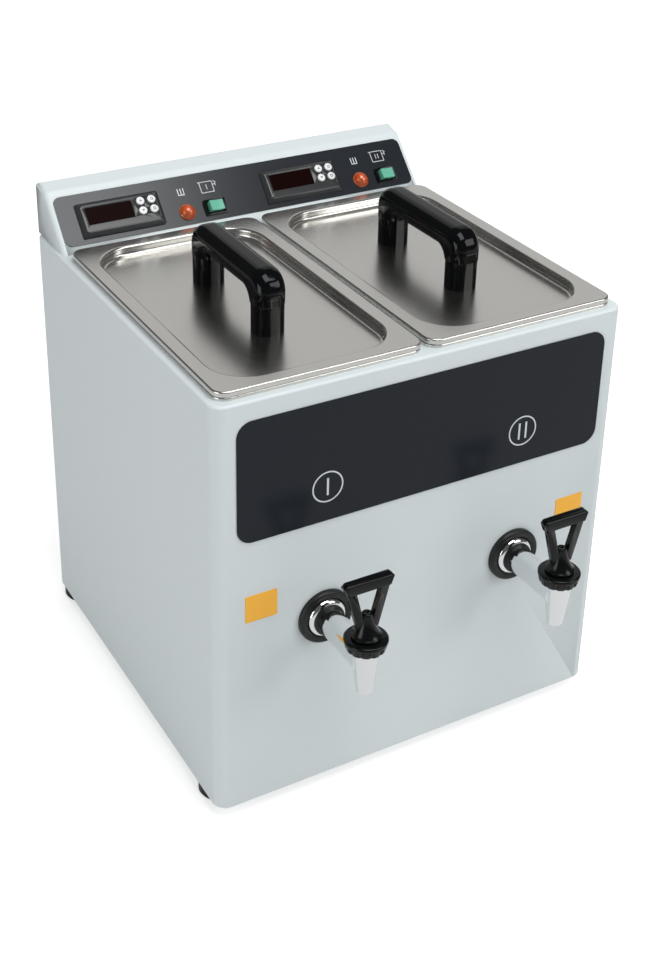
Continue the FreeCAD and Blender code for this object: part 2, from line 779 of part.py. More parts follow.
def lid():
    """Pressed lid: flat border with a turned-down skirt, rolled edge and a sunken panel."""
    upper = lid_block(0, 0, 0, LID_ROLL_R, LID_FLOOR_R)
    under = lid_block(LID_T, LID_T, LID_T, LID_ROLL_R - LID_T, LID_FLOOR_R + LID_T)
    low = LID_FLOOR_Z - 4 * LID_T
    corner = [edge for edge in edges_at(upper, LID_TOP_Z) if not within_border(edge)]
    sheet = upper.makeFillet(LID_EDGE_R, corner).cut(under)
    ring = slab(PAN_W + OVER, PAN_L + OVER, PAN_CORNER_R, low, LID_FOOT_Z)
    keep_w = PAN_W - 2 * LID_BORDER + 2 * LID_T
    keep_l = PAN_L - 2 * LID_BORDER + 2 * LID_T
    keep = slab(keep_w, keep_l, LID_WELL_R + LID_T, LID_FLOOR_Z - LID_T, LID_TOP_Z)
    sheet = sheet.cut(ring.cut(keep))
    for side in SIDES:
        place = Vector(0, side * GRIP_PITCH / 2, low)
        sheet = sheet.cut(rod(GRIP_SCREW_D + 2 * SCREW_FIT, 6 * LID_T, place))
    return one_solid(sheet)


def bow():
    """The whole handle as one rounded bow, its feet on Z zero, along Y."""
    y = (GRIP_PITCH + GRIP_DEPTH) / 2
    inner = (GRIP_PITCH - GRIP_DEPTH) / 2
    z = GRIP_H
    zi = GRIP_H - GRIP_BAR
    b = GRIP_OUTER_R * (1 - math.sqrt(0.5))
    c = GRIP_INNER_R * (1 - math.sqrt(0.5))
    ro = GRIP_OUTER_R
    ri = GRIP_INNER_R
    x = -GRIP_W / 2
    profile = outline(
        Vector(x, -y, 0), Vector(x, -y, z - ro),
        (Vector(x, b - y, z - b), Vector(x, ro - y, z)), Vector(x, y - ro, z),
        (Vector(x, y - b, z - b), Vector(x, y, z - ro)), Vector(x, y, 0),
        Vector(x, inner, 0), Vector(x, inner, zi - ri),
        (Vector(x, inner - c, zi - c), Vector(x, inner - ri, zi)), Vector(x, ri - inner, zi),
        (Vector(x, c - inner, zi - c), Vector(x, -inner, zi - ri)), Vector(x, -inner, 0),
    )
    solid = Part.Face(profile).extrude(Vector(GRIP_W, 0, 0))
    rims = []
    for edge in solid.Edges:
        span = edge.BoundBox
        flat = abs(abs(span.XMin) - GRIP_W / 2) < 1e-4 and abs(span.XMax - span.XMin) < 1e-4
        if flat and span.ZMax > 1e-3:
            rims.append(edge)
    return solid.makeFillet(GRIP_EDGE_R, rims)


def grip_parts():
    """The handle's grip and its two posts, parted at the post height."""
    whole = bow()
    far = GRIP_PITCH
    upper = whole.common(box(-far, far, -far, far, POST_H, 2 * GRIP_H))
    lower = whole.common(box(-far, far, -far, far, -OVER, POST_H))
    posts = []
    for side in SIDES:
        width = GRIP_W - 2 * POST_STEP
        depth = GRIP_DEPTH - 2 * POST_STEP
        keep = slab(width, depth, GRIP_EDGE_R - POST_STEP, 0, POST_H)
        post = lower.common(moved(keep, 0, side * GRIP_PITCH / 2))
        foot = Vector(0, side * GRIP_PITCH / 2, -OVER)
        bore = rod(GRIP_SCREW_D + 2 * SCREW_FIT, GRIP_SCREW_LENGTH + OVER, foot)
        posts.append(one_solid(post.cut(bore)))
    return one_solid(upper), Part.makeCompound(posts)


def grip_screws():
    """Two screws that hold the posts from under the lid."""
    low = -LID_T
    head = GRIP_SCREW_HEAD_D / 2
    shank = GRIP_SCREW_D / 2
    face = low - GRIP_SCREW_HEAD_H
    tip = GRIP_SCREW_LENGTH - LID_T
    screw = turned(
        rz(0, face), rz(head - SCREW_HEAD_EDGE, face), rz(head, face + SCREW_HEAD_EDGE),
        rz(head, low), rz(shank, low), rz(shank, tip), rz(0, tip),
    )
    return Part.makeCompound([moved(screw, 0, side * GRIP_PITCH / 2) for side in SIDES])


# Control head

def head_profile(inset, low, x):
    """The head's side outline, set in by inset, at one X."""
    slope = math.radians(HEAD_ANGLE)
    back = BACK_Y - inset
    top_back = DECK_Z + HEAD_BACK_H
    rise = math.atan2(HEAD_TOP_RISE, HEAD_TOP_DEPTH)
    front = HEAD_FRONT_Y + inset / math.sin(slope)
    corner_y = (
        top_back - inset / math.cos(rise) - DECK_Z - BACK_Y * math.tan(rise) + front * math.tan(slope)
    ) / (math.tan(slope) - math.tan(rise))
    corner_z = DECK_Z + (corner_y - front) * math.tan(slope)
    back_z = corner_z + (back - corner_y) * math.tan(rise)
    drop = (low - DECK_Z) / math.tan(slope)
    return outline(
        Vector(x, front + drop, low), Vector(x, corner_y, corner_z),
        Vector(x, back, back_z), Vector(x, back, low),
    )


def on_head(shape, x=0.0, up=0.0, out=0.0):
    """Places a piece made flat, with Z as its outward side, on the head's slope.

    x is measured from the middle, up from the overlay's lower edge, out from the sheet.
    """
    placed = moved(shape, x, up + HEAD_OVERLAY_UP, out)
    placed.rotate(Vector(0, 0, 0), Vector(1, 0, 0), HEAD_ANGLE)
    placed.translate(Vector(0, HEAD_FRONT_Y, DECK_Z))
    return placed


def head_cutters():
    """The openings for controllers, lamps and switches, through sheet and overlay."""
    cutters = []
    depth = 5 * SHEET
    for side in SIDES:
        middle = side * TANK_X
        body = box(
            -CTL_BODY_W / 2 - CTL_FIT, CTL_BODY_W / 2 + CTL_FIT,
            -CTL_BODY_H / 2 - CTL_FIT, CTL_BODY_H / 2 + CTL_FIT, -depth, depth,
        )
        cutters.append(on_head(body, middle + CTL_X, CTL_UP))
        lamp = rod(LAMP_BODY_D + 2 * CTL_FIT, 2 * depth, Vector(0, 0, -depth))
        cutters.append(on_head(lamp, middle + LAMP_X, LAMP_UP))
        switch = box(
            -SWITCH_BODY_W / 2 - CTL_FIT, SWITCH_BODY_W / 2 + CTL_FIT,
            -SWITCH_BODY_H / 2 - CTL_FIT, SWITCH_BODY_H / 2 + CTL_FIT, -depth, depth,
        )
        cutters.append(on_head(switch, middle + SWITCH_X, SWITCH_UP))
    return Part.makeCompound(cutters)


def head_block(inset, low):
    """The head's solid form, set in by inset, with its upper edges rounded."""
    half = CASE_W / 2 - HEAD_SIDE_INSET - inset
    block = Part.Face(head_profile(inset, low, -half)).extrude(Vector(2 * half, 0, 0))
    rims = []
    for edge in block.Edges:
        span = edge.BoundBox
        on_back = abs(span.YMin - BACK_Y + inset) < 1e-4 and abs(span.ZMin - low) < 1e-4
        on_foot = span.ZMax < low + 1e-3
        if not on_foot and not on_back:
            rims.append(edge)
    return block.makeFillet(HEAD_EDGE_R - inset, rims)


def head_well(z0, z1):
    """The wiring way between the casing and the head."""
    x = CASE_W / 2 - HEAD_SIDE_INSET - HEAD_WELL_INSET
    return box(-x, x, HEAD_FRONT_Y + HEAD_WELL_INSET, BACK_Y - HEAD_WELL_INSET, z0, z1)


def head_cover():
    """Folded cover: sloped front, rising top, closed ends and a return flange on the deck."""
    cover = head_block(0, DECK_Z).cut(head_block(SHEET, DECK_Z + SHEET))
    cover = cover.cut(head_well(DECK_Z - OVER, DECK_Z + SHEET + OVER))
    return one_solid(cover.cut(head_cutters()))


def control_overlay():
    """The thin dark overlay on the head's slope."""
    width = CASE_W - 2 * HEAD_OVERLAY_MARGIN
    sheet = slab(width, HEAD_OVERLAY_H, HEAD_OVERLAY_R, 0, OVERLAY_T)
    sheet = on_head(sheet, 0, HEAD_OVERLAY_H / 2)
    return one_solid(sheet.cut(head_cutters()))


def front_overlay():
    """The thin dark overlay on the casing's front."""
    width = CASE_W - 2 * FRONT_OVERLAY_MARGIN
    sheet = facing_front(slab(width, FRONT_OVERLAY_H, FRONT_OVERLAY_R, -OVERLAY_T, 0))
    return moved(sheet, 0, FRONT_Y, DECK_Z - FRONT_OVERLAY_DROP - FRONT_OVERLAY_H / 2)


def amber_patches():
    """Two plain amber squares beside the taps."""
    patch = facing_front(slab(PATCH_W, PATCH_H, PATCH_R, -PATCH_T, 0))
    x = CASE_W / 2 - PATCH_FROM_SIDE
    z = TAP_Z + PATCH_ABOVE_TAP
    return Part.makeCompound([moved(patch, side * x, FRONT_Y, z) for side in SIDES])


def controller(side):
    """Panel controller: bevelled bezel with window and button wells, and its body behind."""
    low = OVERLAY_T
    face = OVERLAY_T + CTL_PROUD
    foot = rounded(CTL_W, CTL_H, CTL_R, low + CTL_RIM)
    front = rounded(CTL_W - 2 * CTL_BEVEL, CTL_H - 2 * CTL_BEVEL, CTL_R, face)
    bezel = Part.makeLoft([foot, front], True, True)
    bezel = bezel.fuse(slab(CTL_W, CTL_H, CTL_R, low, low + CTL_RIM))
    half_w = CTL_BODY_W / 2
    half_h = CTL_BODY_H / 2
    unit = bezel.fuse(box(-half_w, half_w, -half_h, half_h, -CTL_BODY_DEPTH, low))
    window = slab(WINDOW_W, WINDOW_H, WINDOW_R, face - WINDOW_T, face + OVER)
    unit = unit.cut(moved(window, WINDOW_X, WINDOW_UP))
    well = BUTTON_D + 2 * BUTTON_GAP
    floor = face - BUTTON_DEPTH - BUTTON_TRAVEL - BUTTON_GAP
    for x in BUTTON_X:
        for up in BUTTON_UP:
            unit = unit.cut(rod(well, CTL_PROUD + OVER, Vector(x, up, floor)))
    return one_solid(on_head(unit, side * TANK_X + CTL_X, CTL_UP))


def controller_windows():
    """The dark display windows, set flush in the bezels."""
    face = OVERLAY_T + CTL_PROUD
    width = WINDOW_W - 2 * WINDOW_FIT
    height = WINDOW_H - 2 * WINDOW_FIT
    pane = slab(width, height, WINDOW_R - WINDOW_FIT, face - WINDOW_T, face - WINDOW_SINK)
    x = CTL_X + WINDOW_X
    return Part.makeCompound([on_head(pane, side * TANK_X + x, CTL_UP + WINDOW_UP) for side in SIDES])


def button(side, x, up):
    """One round push button in its well."""
    face = OVERLAY_T + CTL_PROUD
    radius = BUTTON_D / 2
    low = face - BUTTON_DEPTH
    top = face + BUTTON_PROUD
    shoulder = top - BUTTON_CROWN
    cap = turned(
        rz(0, low), rz(radius, low), rz(radius, shoulder - BUTTON_EDGE),
        rz(radius - BUTTON_EDGE, shoulder), rz(0, top),
    )
    return on_head(cap, side * TANK_X + CTL_X + x, CTL_UP + up)


def lamp_lenses():
    """Domed indicator lamps with their bodies behind the head's sheet."""
    low = OVERLAY_T
    radius = LAMP_D / 2
    body = LAMP_BODY_D / 2
    shoulder = radius - LAMP_STEP
    lens = turned(
        rz(0, -LAMP_BODY_L), rz(body, -LAMP_BODY_L), rz(body, low),
        rz(radius, low), rz(radius, low + LAMP_RIM),
        rz(shoulder, low + LAMP_RIM), dome(shoulder, LAMP_DOME, low + LAMP_RIM),
    )
    lenses = [on_head(lens, side * TANK_X + LAMP_X, LAMP_UP) for side in SIDES]
    return Part.makeCompound(lenses)


def switch_frames():
    """Rocker switch frames with their bodies behind the head's sheet."""
    low = OVERLAY_T
    top = low + SWITCH_FLANGE
    frame = slab(SWITCH_W, SWITCH_H, SWITCH_R, low, top)
    half_w = SWITCH_BODY_W / 2
    half_h = SWITCH_BODY_H / 2
    body = box(-half_w, half_w, -half_h, half_h, -SWITCH_BODY_DEPTH, low)
    hole_w = SWITCH_HOLE_W / 2
    hole_h = SWITCH_HOLE_H / 2
    pocket = box(-hole_w, hole_w, -hole_h, hole_h, top - ROCKER_POCKET, top + OVER)
    axle = rod(ROCKER_AXLE_D, SWITCH_BODY_H, Vector(0, -half_h, top - ROCKER_PIVOT_DEPTH), BACKWARD)
    frame = frame.fuse(body).cut(pocket).fuse(axle)
    frames = [on_head(one_solid(frame), side * TANK_X + SWITCH_X, SWITCH_UP) for side in SIDES]
    return Part.makeCompound(frames)


def rocker(side):
    """One rocker, resting with its outer end pressed in, on the frame's axle."""
    top = OVERLAY_T + SWITCH_FLANGE
    pivot = top - ROCKER_PIVOT_DEPTH
    half = ROCKER_W / 2
    depth = -ROCKER_H / 2
    crown = ROCKER_PROUD + ROCKER_PIVOT_DEPTH
    end = crown + half * math.tan(math.radians(ROCKER_TILT))
    foot = ROCKER_DEPTH - ROCKER_PIVOT_DEPTH
    belly = half - ROCKER_TAPER
    face = outline(
        Vector(-half, depth, end), Vector(-half, depth, -ROCKER_SIDE), Vector(-belly, depth, -foot),
        Vector(belly, depth, -foot), Vector(half, depth, -ROCKER_SIDE), Vector(half, depth, end),
        Vector(0, depth, crown),
    )
    cap = Part.Face(face).extrude(Vector(0, ROCKER_H, 0))
    cap = cap.cut(rod(ROCKER_AXLE_D + 2 * PIN_FIT, 2 * ROCKER_H, Vector(0, -ROCKER_H, 0), BACKWARD))
    cap.rotate(Vector(0, 0, 0), Vector(0, 1, 0), ROCKER_TILT)
    return on_head(cap, side * TANK_X + SWITCH_X, SWITCH_UP, pivot)


# Taps, made about the point where spout and shank axes cross

def tap_body():
    """Shank, tapered spout and valve chamber in one casting."""
    top = SPOUT_TOP_UP
    tip = -SPOUT_DOWN
    barrel = turned(
        rz(0, tip), rz(SPOUT_TIP_D / 2 - SPOUT_TIP_R, tip), rz(SPOUT_TIP_D / 2, tip + SPOUT_TIP_R),
        rz(SPOUT_TOP_D / 2, top), rz(NECK_D / 2, top),
        rz(NECK_D / 2, top + NECK_H), rz(0, top + NECK_H),
    )
    length = TAP_REACH + SHANK_INSIDE
    shank = rod(SHANK_D, length, Vector(0, 0, 0), BACKWARD)
    body = barrel.fuse(shank)
    seat = -CHAMBER_DOWN
    chamber = rod(CHAMBER_D, NECK_H + top - seat + OVER, Vector(0, 0, seat))
    bore = rod(SPOUT_BORE_D, SPOUT_DOWN + OVER, Vector(0, 0, tip - OVER))
    feed = rod(SHANK_BORE_D, length + OVER, Vector(0, 0, 0), BACKWARD)
    return one_solid(body.cut(chamber).cut(bore).cut(feed))


def bonnet():
    """Cap over the valve chamber, with finger notches and the stem's guide hole."""
    low = SPOUT_TOP_UP
    top = low + BONNET_H
    neck = NECK_D / 2 + NECK_FIT
    roof = low + NECK_H + BONNET_ROOF_GAP
    cap = turned(
        rz(neck, low), rz(BONNET_FOOT_D / 2, low), rz(BONNET_D / 2, top - 2 * BONNET_EDGE),
        rz(BONNET_D / 2, top - BONNET_EDGE), rz(BONNET_D / 2 - BONNET_EDGE, top),
        rz(STEM_D / 2 + STEM_FIT, top), rz(STEM_D / 2 + STEM_FIT, roof), rz(neck, roof),
    )
    notches = []
    out = BONNET_FOOT_D / 2 + BONNET_NOTCH_D / 2 - BONNET_NOTCH_IN
    for step in range(BONNET_NOTCHES):
        angle = 2 * math.pi * (step + 0.5) / BONNET_NOTCHES
        foot = Vector(out * math.cos(angle), out * math.sin(angle), low - OVER)
        notches.append(rod(BONNET_NOTCH_D, BONNET_NOTCH_H + OVER, foot))
    return one_solid(cap.cut(Part.makeCompound(notches)))


def pivot_height():
    """The lever pin's height above the shank axis."""
    return SPOUT_TOP_UP + BONNET_H + LEVER_GAP + LEVER_PIVOT_UP


def stem():
    """Valve stem: cup spigot below, guided shank, and the pin hole at its top."""
    low = SEAT_GAP - CHAMBER_DOWN + CUP_WALL
    top = pivot_height() + STEM_HEAD
    spigot = STEM_D / 2 + STEM_BARB
    rise = CUP_H - 2 * CUP_WALL
    bar = turned(
        rz(0, low), rz(spigot, low), rz(spigot, low + rise - STEM_BARB), rz(STEM_D / 2, low + rise),
        rz(STEM_D / 2, top - STEM_EDGE), rz(STEM_D / 2 - STEM_EDGE, top), rz(0, top),
    )
    hole = rod(PIN_D, 2 * STEM_D, Vector(-STEM_D, 0, pivot_height()), Vector(1, 0, 0))
    return one_solid(bar.cut(hole))


def seat_cup():
    """Soft cup on the stem's end, which closes the seat."""
    low = SEAT_GAP - CHAMBER_DOWN
    radius = CUP_D / 2
    spigot = STEM_D / 2 + STEM_BARB
    rise = CUP_H - 2 * CUP_WALL
    inner_low = low + CUP_WALL
    bow_out = CUP_ROUND * (1 - math.sqrt(0.5))
    return turned(
        rz(0, low), rz(radius - CUP_ROUND, low),
        (rz(radius - bow_out, low + bow_out), rz(radius, low + CUP_ROUND)),
        rz(radius, low + CUP_H), rz(STEM_D / 2, low + CUP_H), rz(STEM_D / 2, inner_low + rise),
        rz(spigot, inner_low + rise - STEM_BARB), rz(spigot, inner_low), rz(0, inner_low),
    )


def spring_span():
    """The spring's lower and upper ends, above the shank axis."""
    low = SEAT_GAP - CHAMBER_DOWN + CUP_H
    high = SPOUT_TOP_UP + NECK_H + BONNET_ROOF_GAP
    return low, high


def spring():
    """Closing spring between the cup and the bonnet's roof."""
    low, high = spring_span()
    wire = SPRING_WIRE / 2
    height = high - low - SPRING_WIRE
    helix = Part.makeHelix(height / SPRING_TURNS, height, SPRING_MEAN_D / 2)
    start = Vector(SPRING_MEAN_D / 2, 0, 0)
    section = Part.Wire([Part.makeCircle(wire, start, Vector(0, 1, 0))])
    coil = Part.Wire(helix.Edges).makePipeShell([section], True, True)
    return moved(coil, z=low + wire)


def lever():
    """Pull lever: turned hub with a rocking foot, two struts and a cross bar."""
    foot = -LEVER_PIVOT_UP
    radius = LEVER_FOOT_D / 2
    tip = foot + LEVER_HUB_H
    bow_out = LEVER_FOOT_R * (1 - math.sqrt(0.5))
    slim = LEVER_TIP_D / 2
    dimple = LEVER_DIMPLE_D / 2
    hub = turned(
        rz(0, foot), rz(radius - LEVER_FOOT_R, foot),
        (rz(radius - bow_out, foot + bow_out), rz(radius, foot + LEVER_FOOT_R)),
        rz(radius - LEVER_STEP, foot + LEVER_FOOT_R + LEVER_STEP_H),
        (rz(slim + LEVER_WAIST_OUT, foot + LEVER_WAIST_UP), rz(slim, tip - LEVER_TIP_EDGE)),
        rz(slim - LEVER_TIP_EDGE, tip), rz(dimple, tip), rz(dimple, tip - LEVER_DIMPLE),
        rz(0, tip - LEVER_DIMPLE),
    )
    solid = hub
    half_t = LEVER_STRUT_T / 2
    high = LEVER_BAR_UP - LEVER_PIVOT_UP + OVER
    for side in SIDES:
        low_x = side * LEVER_STRUT_LOW
        top_x = side * LEVER_STRUT_HIGH
        start = foot + LEVER_STRUT_START
        half_w = side * LEVER_STRUT_W / 2
        face = outline(
            Vector(low_x - half_w, -half_t, start), Vector(low_x + half_w, -half_t, start),
            Vector(top_x + half_w, -half_t, high), Vector(top_x - half_w, -half_t, high),
        )
        solid = solid.fuse(Part.Face(face).extrude(Vector(0, LEVER_STRUT_T, 0)))
    solid = solid.fuse(lever_bar())
    return one_solid(solid.cut(lever_cavity()))


def lever_bar():
    """The lever's cross bar, wider at its top, with bevelled front and back edges."""
    low = LEVER_BAR_UP - LEVER_PIVOT_UP
    high = low + LEVER_BAR_H
    top = LEVER_BAR_TOP_W / 2
    base = LEVER_BAR_FOOT_W / 2
    half_t = LEVER_BAR_T / 2
    end = top - LEVER_BAR_CORNER
    shoulder = high - LEVER_BAR_CORNER
    face = outline(
        Vector(-base, -half_t, low), Vector(base, -half_t, low), Vector(top, -half_t, shoulder),
        Vector(end, -half_t, high), Vector(-end, -half_t, high), Vector(-top, -half_t, shoulder),
    )
    bar = Part.Face(face).extrude(Vector(0, LEVER_BAR_T, 0))
    rims = [e for e in bar.Edges if abs(e.BoundBox.YMax - e.BoundBox.YMin) < 1e-4]
    return bar.makeChamfer(LEVER_BAR_EDGE, rims)


def lever_cavity():
    """Room inside the hub for the stem over the lever's whole tilt, and the pin holes."""
    wide = STEM_D / 2 + LEVER_SLOT_GAP
    tilt = math.radians(LEVER_TILT)
    low = -LEVER_PIVOT_UP / math.cos(tilt) - wide * math.tan(tilt) - OVER
    steps = 4
    across = Vector(1, 0, 0)
    room = rod(PIN_D + 2 * PIN_FIT, 2 * LEVER_FOOT_D, Vector(-LEVER_FOOT_D, 0, 0), across)
    for step in range(steps):
        slot = box(-wide, wide, -wide, wide, low, STEM_HEAD + LEVER_SLOT_GAP)
        slot.rotate(Vector(0, 0, 0), across, -LEVER_TILT * step / (steps - 1))
        room = room.fuse(slot)
    return room


def lever_pin():
    """The pin through stem and lever."""
    return rod(PIN_D, PIN_L, Vector(-PIN_L / 2, 0, pivot_height()), Vector(1, 0, 0))


def lock_nuts():
    """Hexagon nuts that clamp the taps from inside the casing."""
    radius = NUT_FLATS / 2 / math.cos(math.pi / 6)
    points = []
    for step in range(6):
        angle = math.pi / 6 + step * math.pi / 3
        points.append(Vector(radius * math.cos(angle), radius * math.sin(angle), SHEET))
    nut = Part.Face(outline(*points)).extrude(Vector(0, 0, NUT_T))
    nut = nut.cut(rod(SHANK_D + 2 * RING_FIT, 3 * NUT_T, Vector(0, 0, -NUT_T)))
    return both(facing_front(nut), FRONT_Y, TAP_Z)


def rubber_rings():
    """Soft rings between the front sheet and the tap's bell."""
    outer = RING_D / 2
    inner = BELL_D / 2 + RING_FIT
    edge = RING_EDGE_R
    bow_out = edge * (1 - math.sqrt(0.5))
    ring = turned(
        rz(inner, 0), rz(inner, RING_INNER_EDGE - RING_T), rz(inner + RING_INNER_EDGE, -RING_T),
        rz(outer - edge, -RING_T),
        (rz(outer - bow_out, bow_out - RING_T), rz(outer, edge - RING_T)), rz(outer, 0),
    )
    return both(facing_front(ring), FRONT_Y, TAP_Z)


def bells():
    """Bell-shaped rosettes on the shanks."""
    bore = SHANK_D / 2 + RING_FIT
    base = BELL_D / 2
    tip = BELL_TIP_D / 2
    bell = turned(
        rz(bore, 0), rz(bore, -BELL_H), rz(tip, -BELL_H),
        (rz(tip + BELL_WAIST_OUT, -BELL_WAIST_UP), rz(base - BELL_EDGE, -BELL_RIM)),
        rz(base, BELL_EDGE - BELL_RIM), rz(base, 0),
    )
    return both(facing_front(bell), FRONT_Y, TAP_Z)


def seals():
    """Black seals on the shanks, against the bells."""
    bore = SHANK_D / 2 + RING_FIT
    outer = SEAL_D / 2
    low = -BELL_H
    high = low - SEAL_H
    edge = SEAL_EDGE
    seal = turned(
        rz(bore, low), rz(outer, low), rz(outer, high + edge), rz(outer - edge, high), rz(bore, high)
    )
    return both(facing_front(seal), FRONT_Y, TAP_Z)


def build():
    """Every node's shape, by name."""
    nodes = {
        "outer_casing": outer_casing(),
        "rear_panel": rear_panel(),
        "base_plate": base_plate(),
        "feet": feet(),
        "foot_screws": foot_screws(),
        "rear_panel_screws": rear_panel_screws(),
        "head_cover": head_cover(),
        "control_overlay": control_overlay(),
        "front_overlay": front_overlay(),
        "amber_patches": amber_patches(),
        "inlet_body": inlet_body(),
        "inlet_pins": inlet_pins(),
        "power_board": power_board(),
        "tank_heaters": tank_heaters(),
        "tank_insulation": tank_insulation(),
        "temperature_sensors": temperature_sensors(),
        "outlet_elbows": outlet_elbows(),
        "tap_lock_nuts": lock_nuts(),
        "tap_rubber_rings": rubber_rings(),
        "tap_bells": bells(),
        "tap_seals": seals(),
        "controller_windows": controller_windows(),
        "lamp_lenses": lamp_lenses(),
        "switch_frames": switch_frames(),
    }
    lid_shape = lid()
    grip, posts = grip_parts()
    screws = grip_screws()
    for number, side in enumerate(SIDES, start=1):
        x = side * TANK_X
        nodes[f"tank_{number}"] = moved(tank(), x, PAN_Y)
        nodes[f"lid_{number}"] = moved(lid_shape, x, PAN_Y)
        nodes[f"lid_{number}_grip"] = moved(grip, x, PAN_Y, LID_FLOOR_Z)
        nodes[f"lid_{number}_handle_posts"] = moved(posts, x, PAN_Y, LID_FLOOR_Z)
        nodes[f"lid_{number}_handle_screws"] = moved(screws, x, PAN_Y, LID_FLOOR_Z)
        nodes[f"controller_{number}"] = controller(side)
        names = (("down", "set"), ("up", "lamp"))
        for column, button_x in enumerate(BUTTON_X):
            for row, button_up in enumerate(BUTTON_UP):
                name = f"controller_{number}_{names[row][column]}_button"
                nodes[name] = button(side, button_x, button_up)
        nodes[f"switch_{number}_rocker"] = rocker(side)
        pieces = {
            "body": tap_body(),
            "bonnet": bonnet(),
            "stem": stem(),
            "seat_cup": seat_cup(),
            "spring": spring(),
            "lever": moved(lever(), z=pivot_height()),
            "lever_pin": lever_pin(),
        }
        for name, shape in pieces.items():
            nodes[f"tap_{number}_{name}"] = moved(shape, x, TAP_Y, TAP_Z)
    return nodes


def footprint_middle(nodes):
    """The middle of everything's outline on the ground."""
    span = Part.makeCompound(list(nodes.values())).BoundBox
    return Vector(-span.Center.x, -span.Center.y, -span.ZMin)


def main():
    """Builds every piece, sets the origin and writes one file for each node."""
    os.makedirs("parts", exist_ok=True)
    nodes = build()
    shift = footprint_middle(nodes)
    for name, shape in nodes.items():
        moved(shape, shift.x, shift.y, shift.z).exportStep(f"parts/{name}.step")


main()
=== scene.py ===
"""Looks of the two-tank paraffin dispenser, over its construction frame.

Every length is in metres, in the frame's own axes: X to the right along the front,
Y to the back, Z up from the bench. Sizes written as mm(...) are real millimetres.
"""

import json
import logging
import math
from collections.abc import Iterable, Sequence
from dataclasses import dataclass, field, replace
from enum import Enum

import bmesh
import bpy
from mathutils import Matrix, Vector

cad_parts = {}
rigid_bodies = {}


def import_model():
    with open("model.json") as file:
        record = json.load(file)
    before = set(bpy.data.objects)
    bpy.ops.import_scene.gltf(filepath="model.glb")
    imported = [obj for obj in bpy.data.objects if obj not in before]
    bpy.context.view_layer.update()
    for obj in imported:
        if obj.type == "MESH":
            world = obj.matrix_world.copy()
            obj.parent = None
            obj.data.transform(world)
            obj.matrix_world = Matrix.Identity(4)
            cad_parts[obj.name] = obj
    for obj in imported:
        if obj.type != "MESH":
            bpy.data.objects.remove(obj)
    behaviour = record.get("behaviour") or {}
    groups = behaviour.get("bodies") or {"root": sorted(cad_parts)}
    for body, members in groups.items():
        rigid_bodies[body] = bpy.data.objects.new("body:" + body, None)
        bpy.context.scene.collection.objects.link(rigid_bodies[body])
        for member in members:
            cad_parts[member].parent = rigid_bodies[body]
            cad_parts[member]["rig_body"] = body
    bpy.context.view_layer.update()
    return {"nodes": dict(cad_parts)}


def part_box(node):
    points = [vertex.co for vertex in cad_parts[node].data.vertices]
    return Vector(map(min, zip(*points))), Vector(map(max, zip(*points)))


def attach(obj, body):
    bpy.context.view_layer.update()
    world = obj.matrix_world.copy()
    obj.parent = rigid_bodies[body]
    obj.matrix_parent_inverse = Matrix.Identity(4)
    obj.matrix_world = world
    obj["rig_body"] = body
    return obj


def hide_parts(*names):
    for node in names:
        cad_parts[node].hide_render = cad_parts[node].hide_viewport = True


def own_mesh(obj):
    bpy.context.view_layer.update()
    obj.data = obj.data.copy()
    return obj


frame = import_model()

log = logging.getLogger("paraffin_dispenser")

MERGE_DISTANCE = 2e-6
DOUBLES_DISTANCE = 1e-7
SMOOTH_ANGLE = 32.0
BEVEL_ANGLE = 35.0
BEVEL_STEPS = 2
SIDES = (-1, 1)

Outline = list[tuple[float, float]]
Colour = tuple[float, float, float]


def mm(length: float) -> float:
    """Millimetres as metres."""
    return length / 1000.0


def low_high(node: str) -> tuple[Vector, Vector]:
    """Lowest and highest corner of a frame node at rest."""
    low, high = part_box(node)
    return Vector(low), Vector(high)


def middle_of(node: str) -> Vector:
    """Middle of a frame node's box."""
    low, high = low_high(node)
    return (low + high) / 2


def tank_x(number: int) -> float:
    """Middle of a tank along the front."""
    return middle_of(f"tank_{number}").x


PRINT_HEIGHT = mm(0.06)


class Slot(Enum):
    """Names of the record's material slots; each finish carries one."""

    PAINT = "casing_paint"
    STAINLESS = "stainless"
    PIPE = "pipe_steel"
    CHROME = "tap_chrome"
    BRASS = "brass"
    SCREW = "screw_steel"
    GRIP = "black_grip"
    BLACK = "black_plastic"
    FILM = "overlay_dark"
    AMBER = "amber_film"
    RUBBER = "rubber"
    SILICONE = "silicone"
    WINDOW = "window"
    LAMP = "lamp"
    GREEN = "green_key"
    WHITE = "white_key"
    WOOL = "wool"
    HEATER = "heater"
    BOARD = "board"


class Bench:
    """A small workbench for one node tree, material or group."""

    def __init__(self, tree: bpy.types.NodeTree) -> None:
        """Takes the tree to build in."""
        self.tree = tree
        self.column = 0

    def add(self, kind: str, values: dict[str, object] | None = None, **settings: object) -> bpy.types.Node:
        """Adds one node.

        Args:
            kind: The node's type name.
            values: Socket name to a plain value or to another node's output socket.
            settings: The node's own properties.

        Returns:
            The new node.
        """
        node = self.tree.nodes.new(kind)
        node.location = (self.column * 180, 0)
        self.column += 1
        for name, value in settings.items():
            setattr(node, name, value)
        for name, value in (values or {}).items():
            self.set(node, name, value)
        return node

    def set(self, node: bpy.types.Node, name: str | int, value: object) -> None:
        """Gives a node's input a value, or links another node's output to it.

        Args:
            node: The node.
            name: The input's name or number.
            value: A plain value, or another node's output socket.
        """
        socket = node.inputs[name]
        if isinstance(value, bpy.types.NodeSocket):
            self.tree.links.new(value, socket)
        else:
            socket.default_value = value

    def scaled(self, value: bpy.types.NodeSocket, low: float, high: float) -> bpy.types.NodeSocket:
        """A value from 0 to 1, spread between low and high."""
        spread = self.add("ShaderNodeMapRange", {"Value": value, "To Min": low, "To Max": high})
        return spread.outputs["Result"]


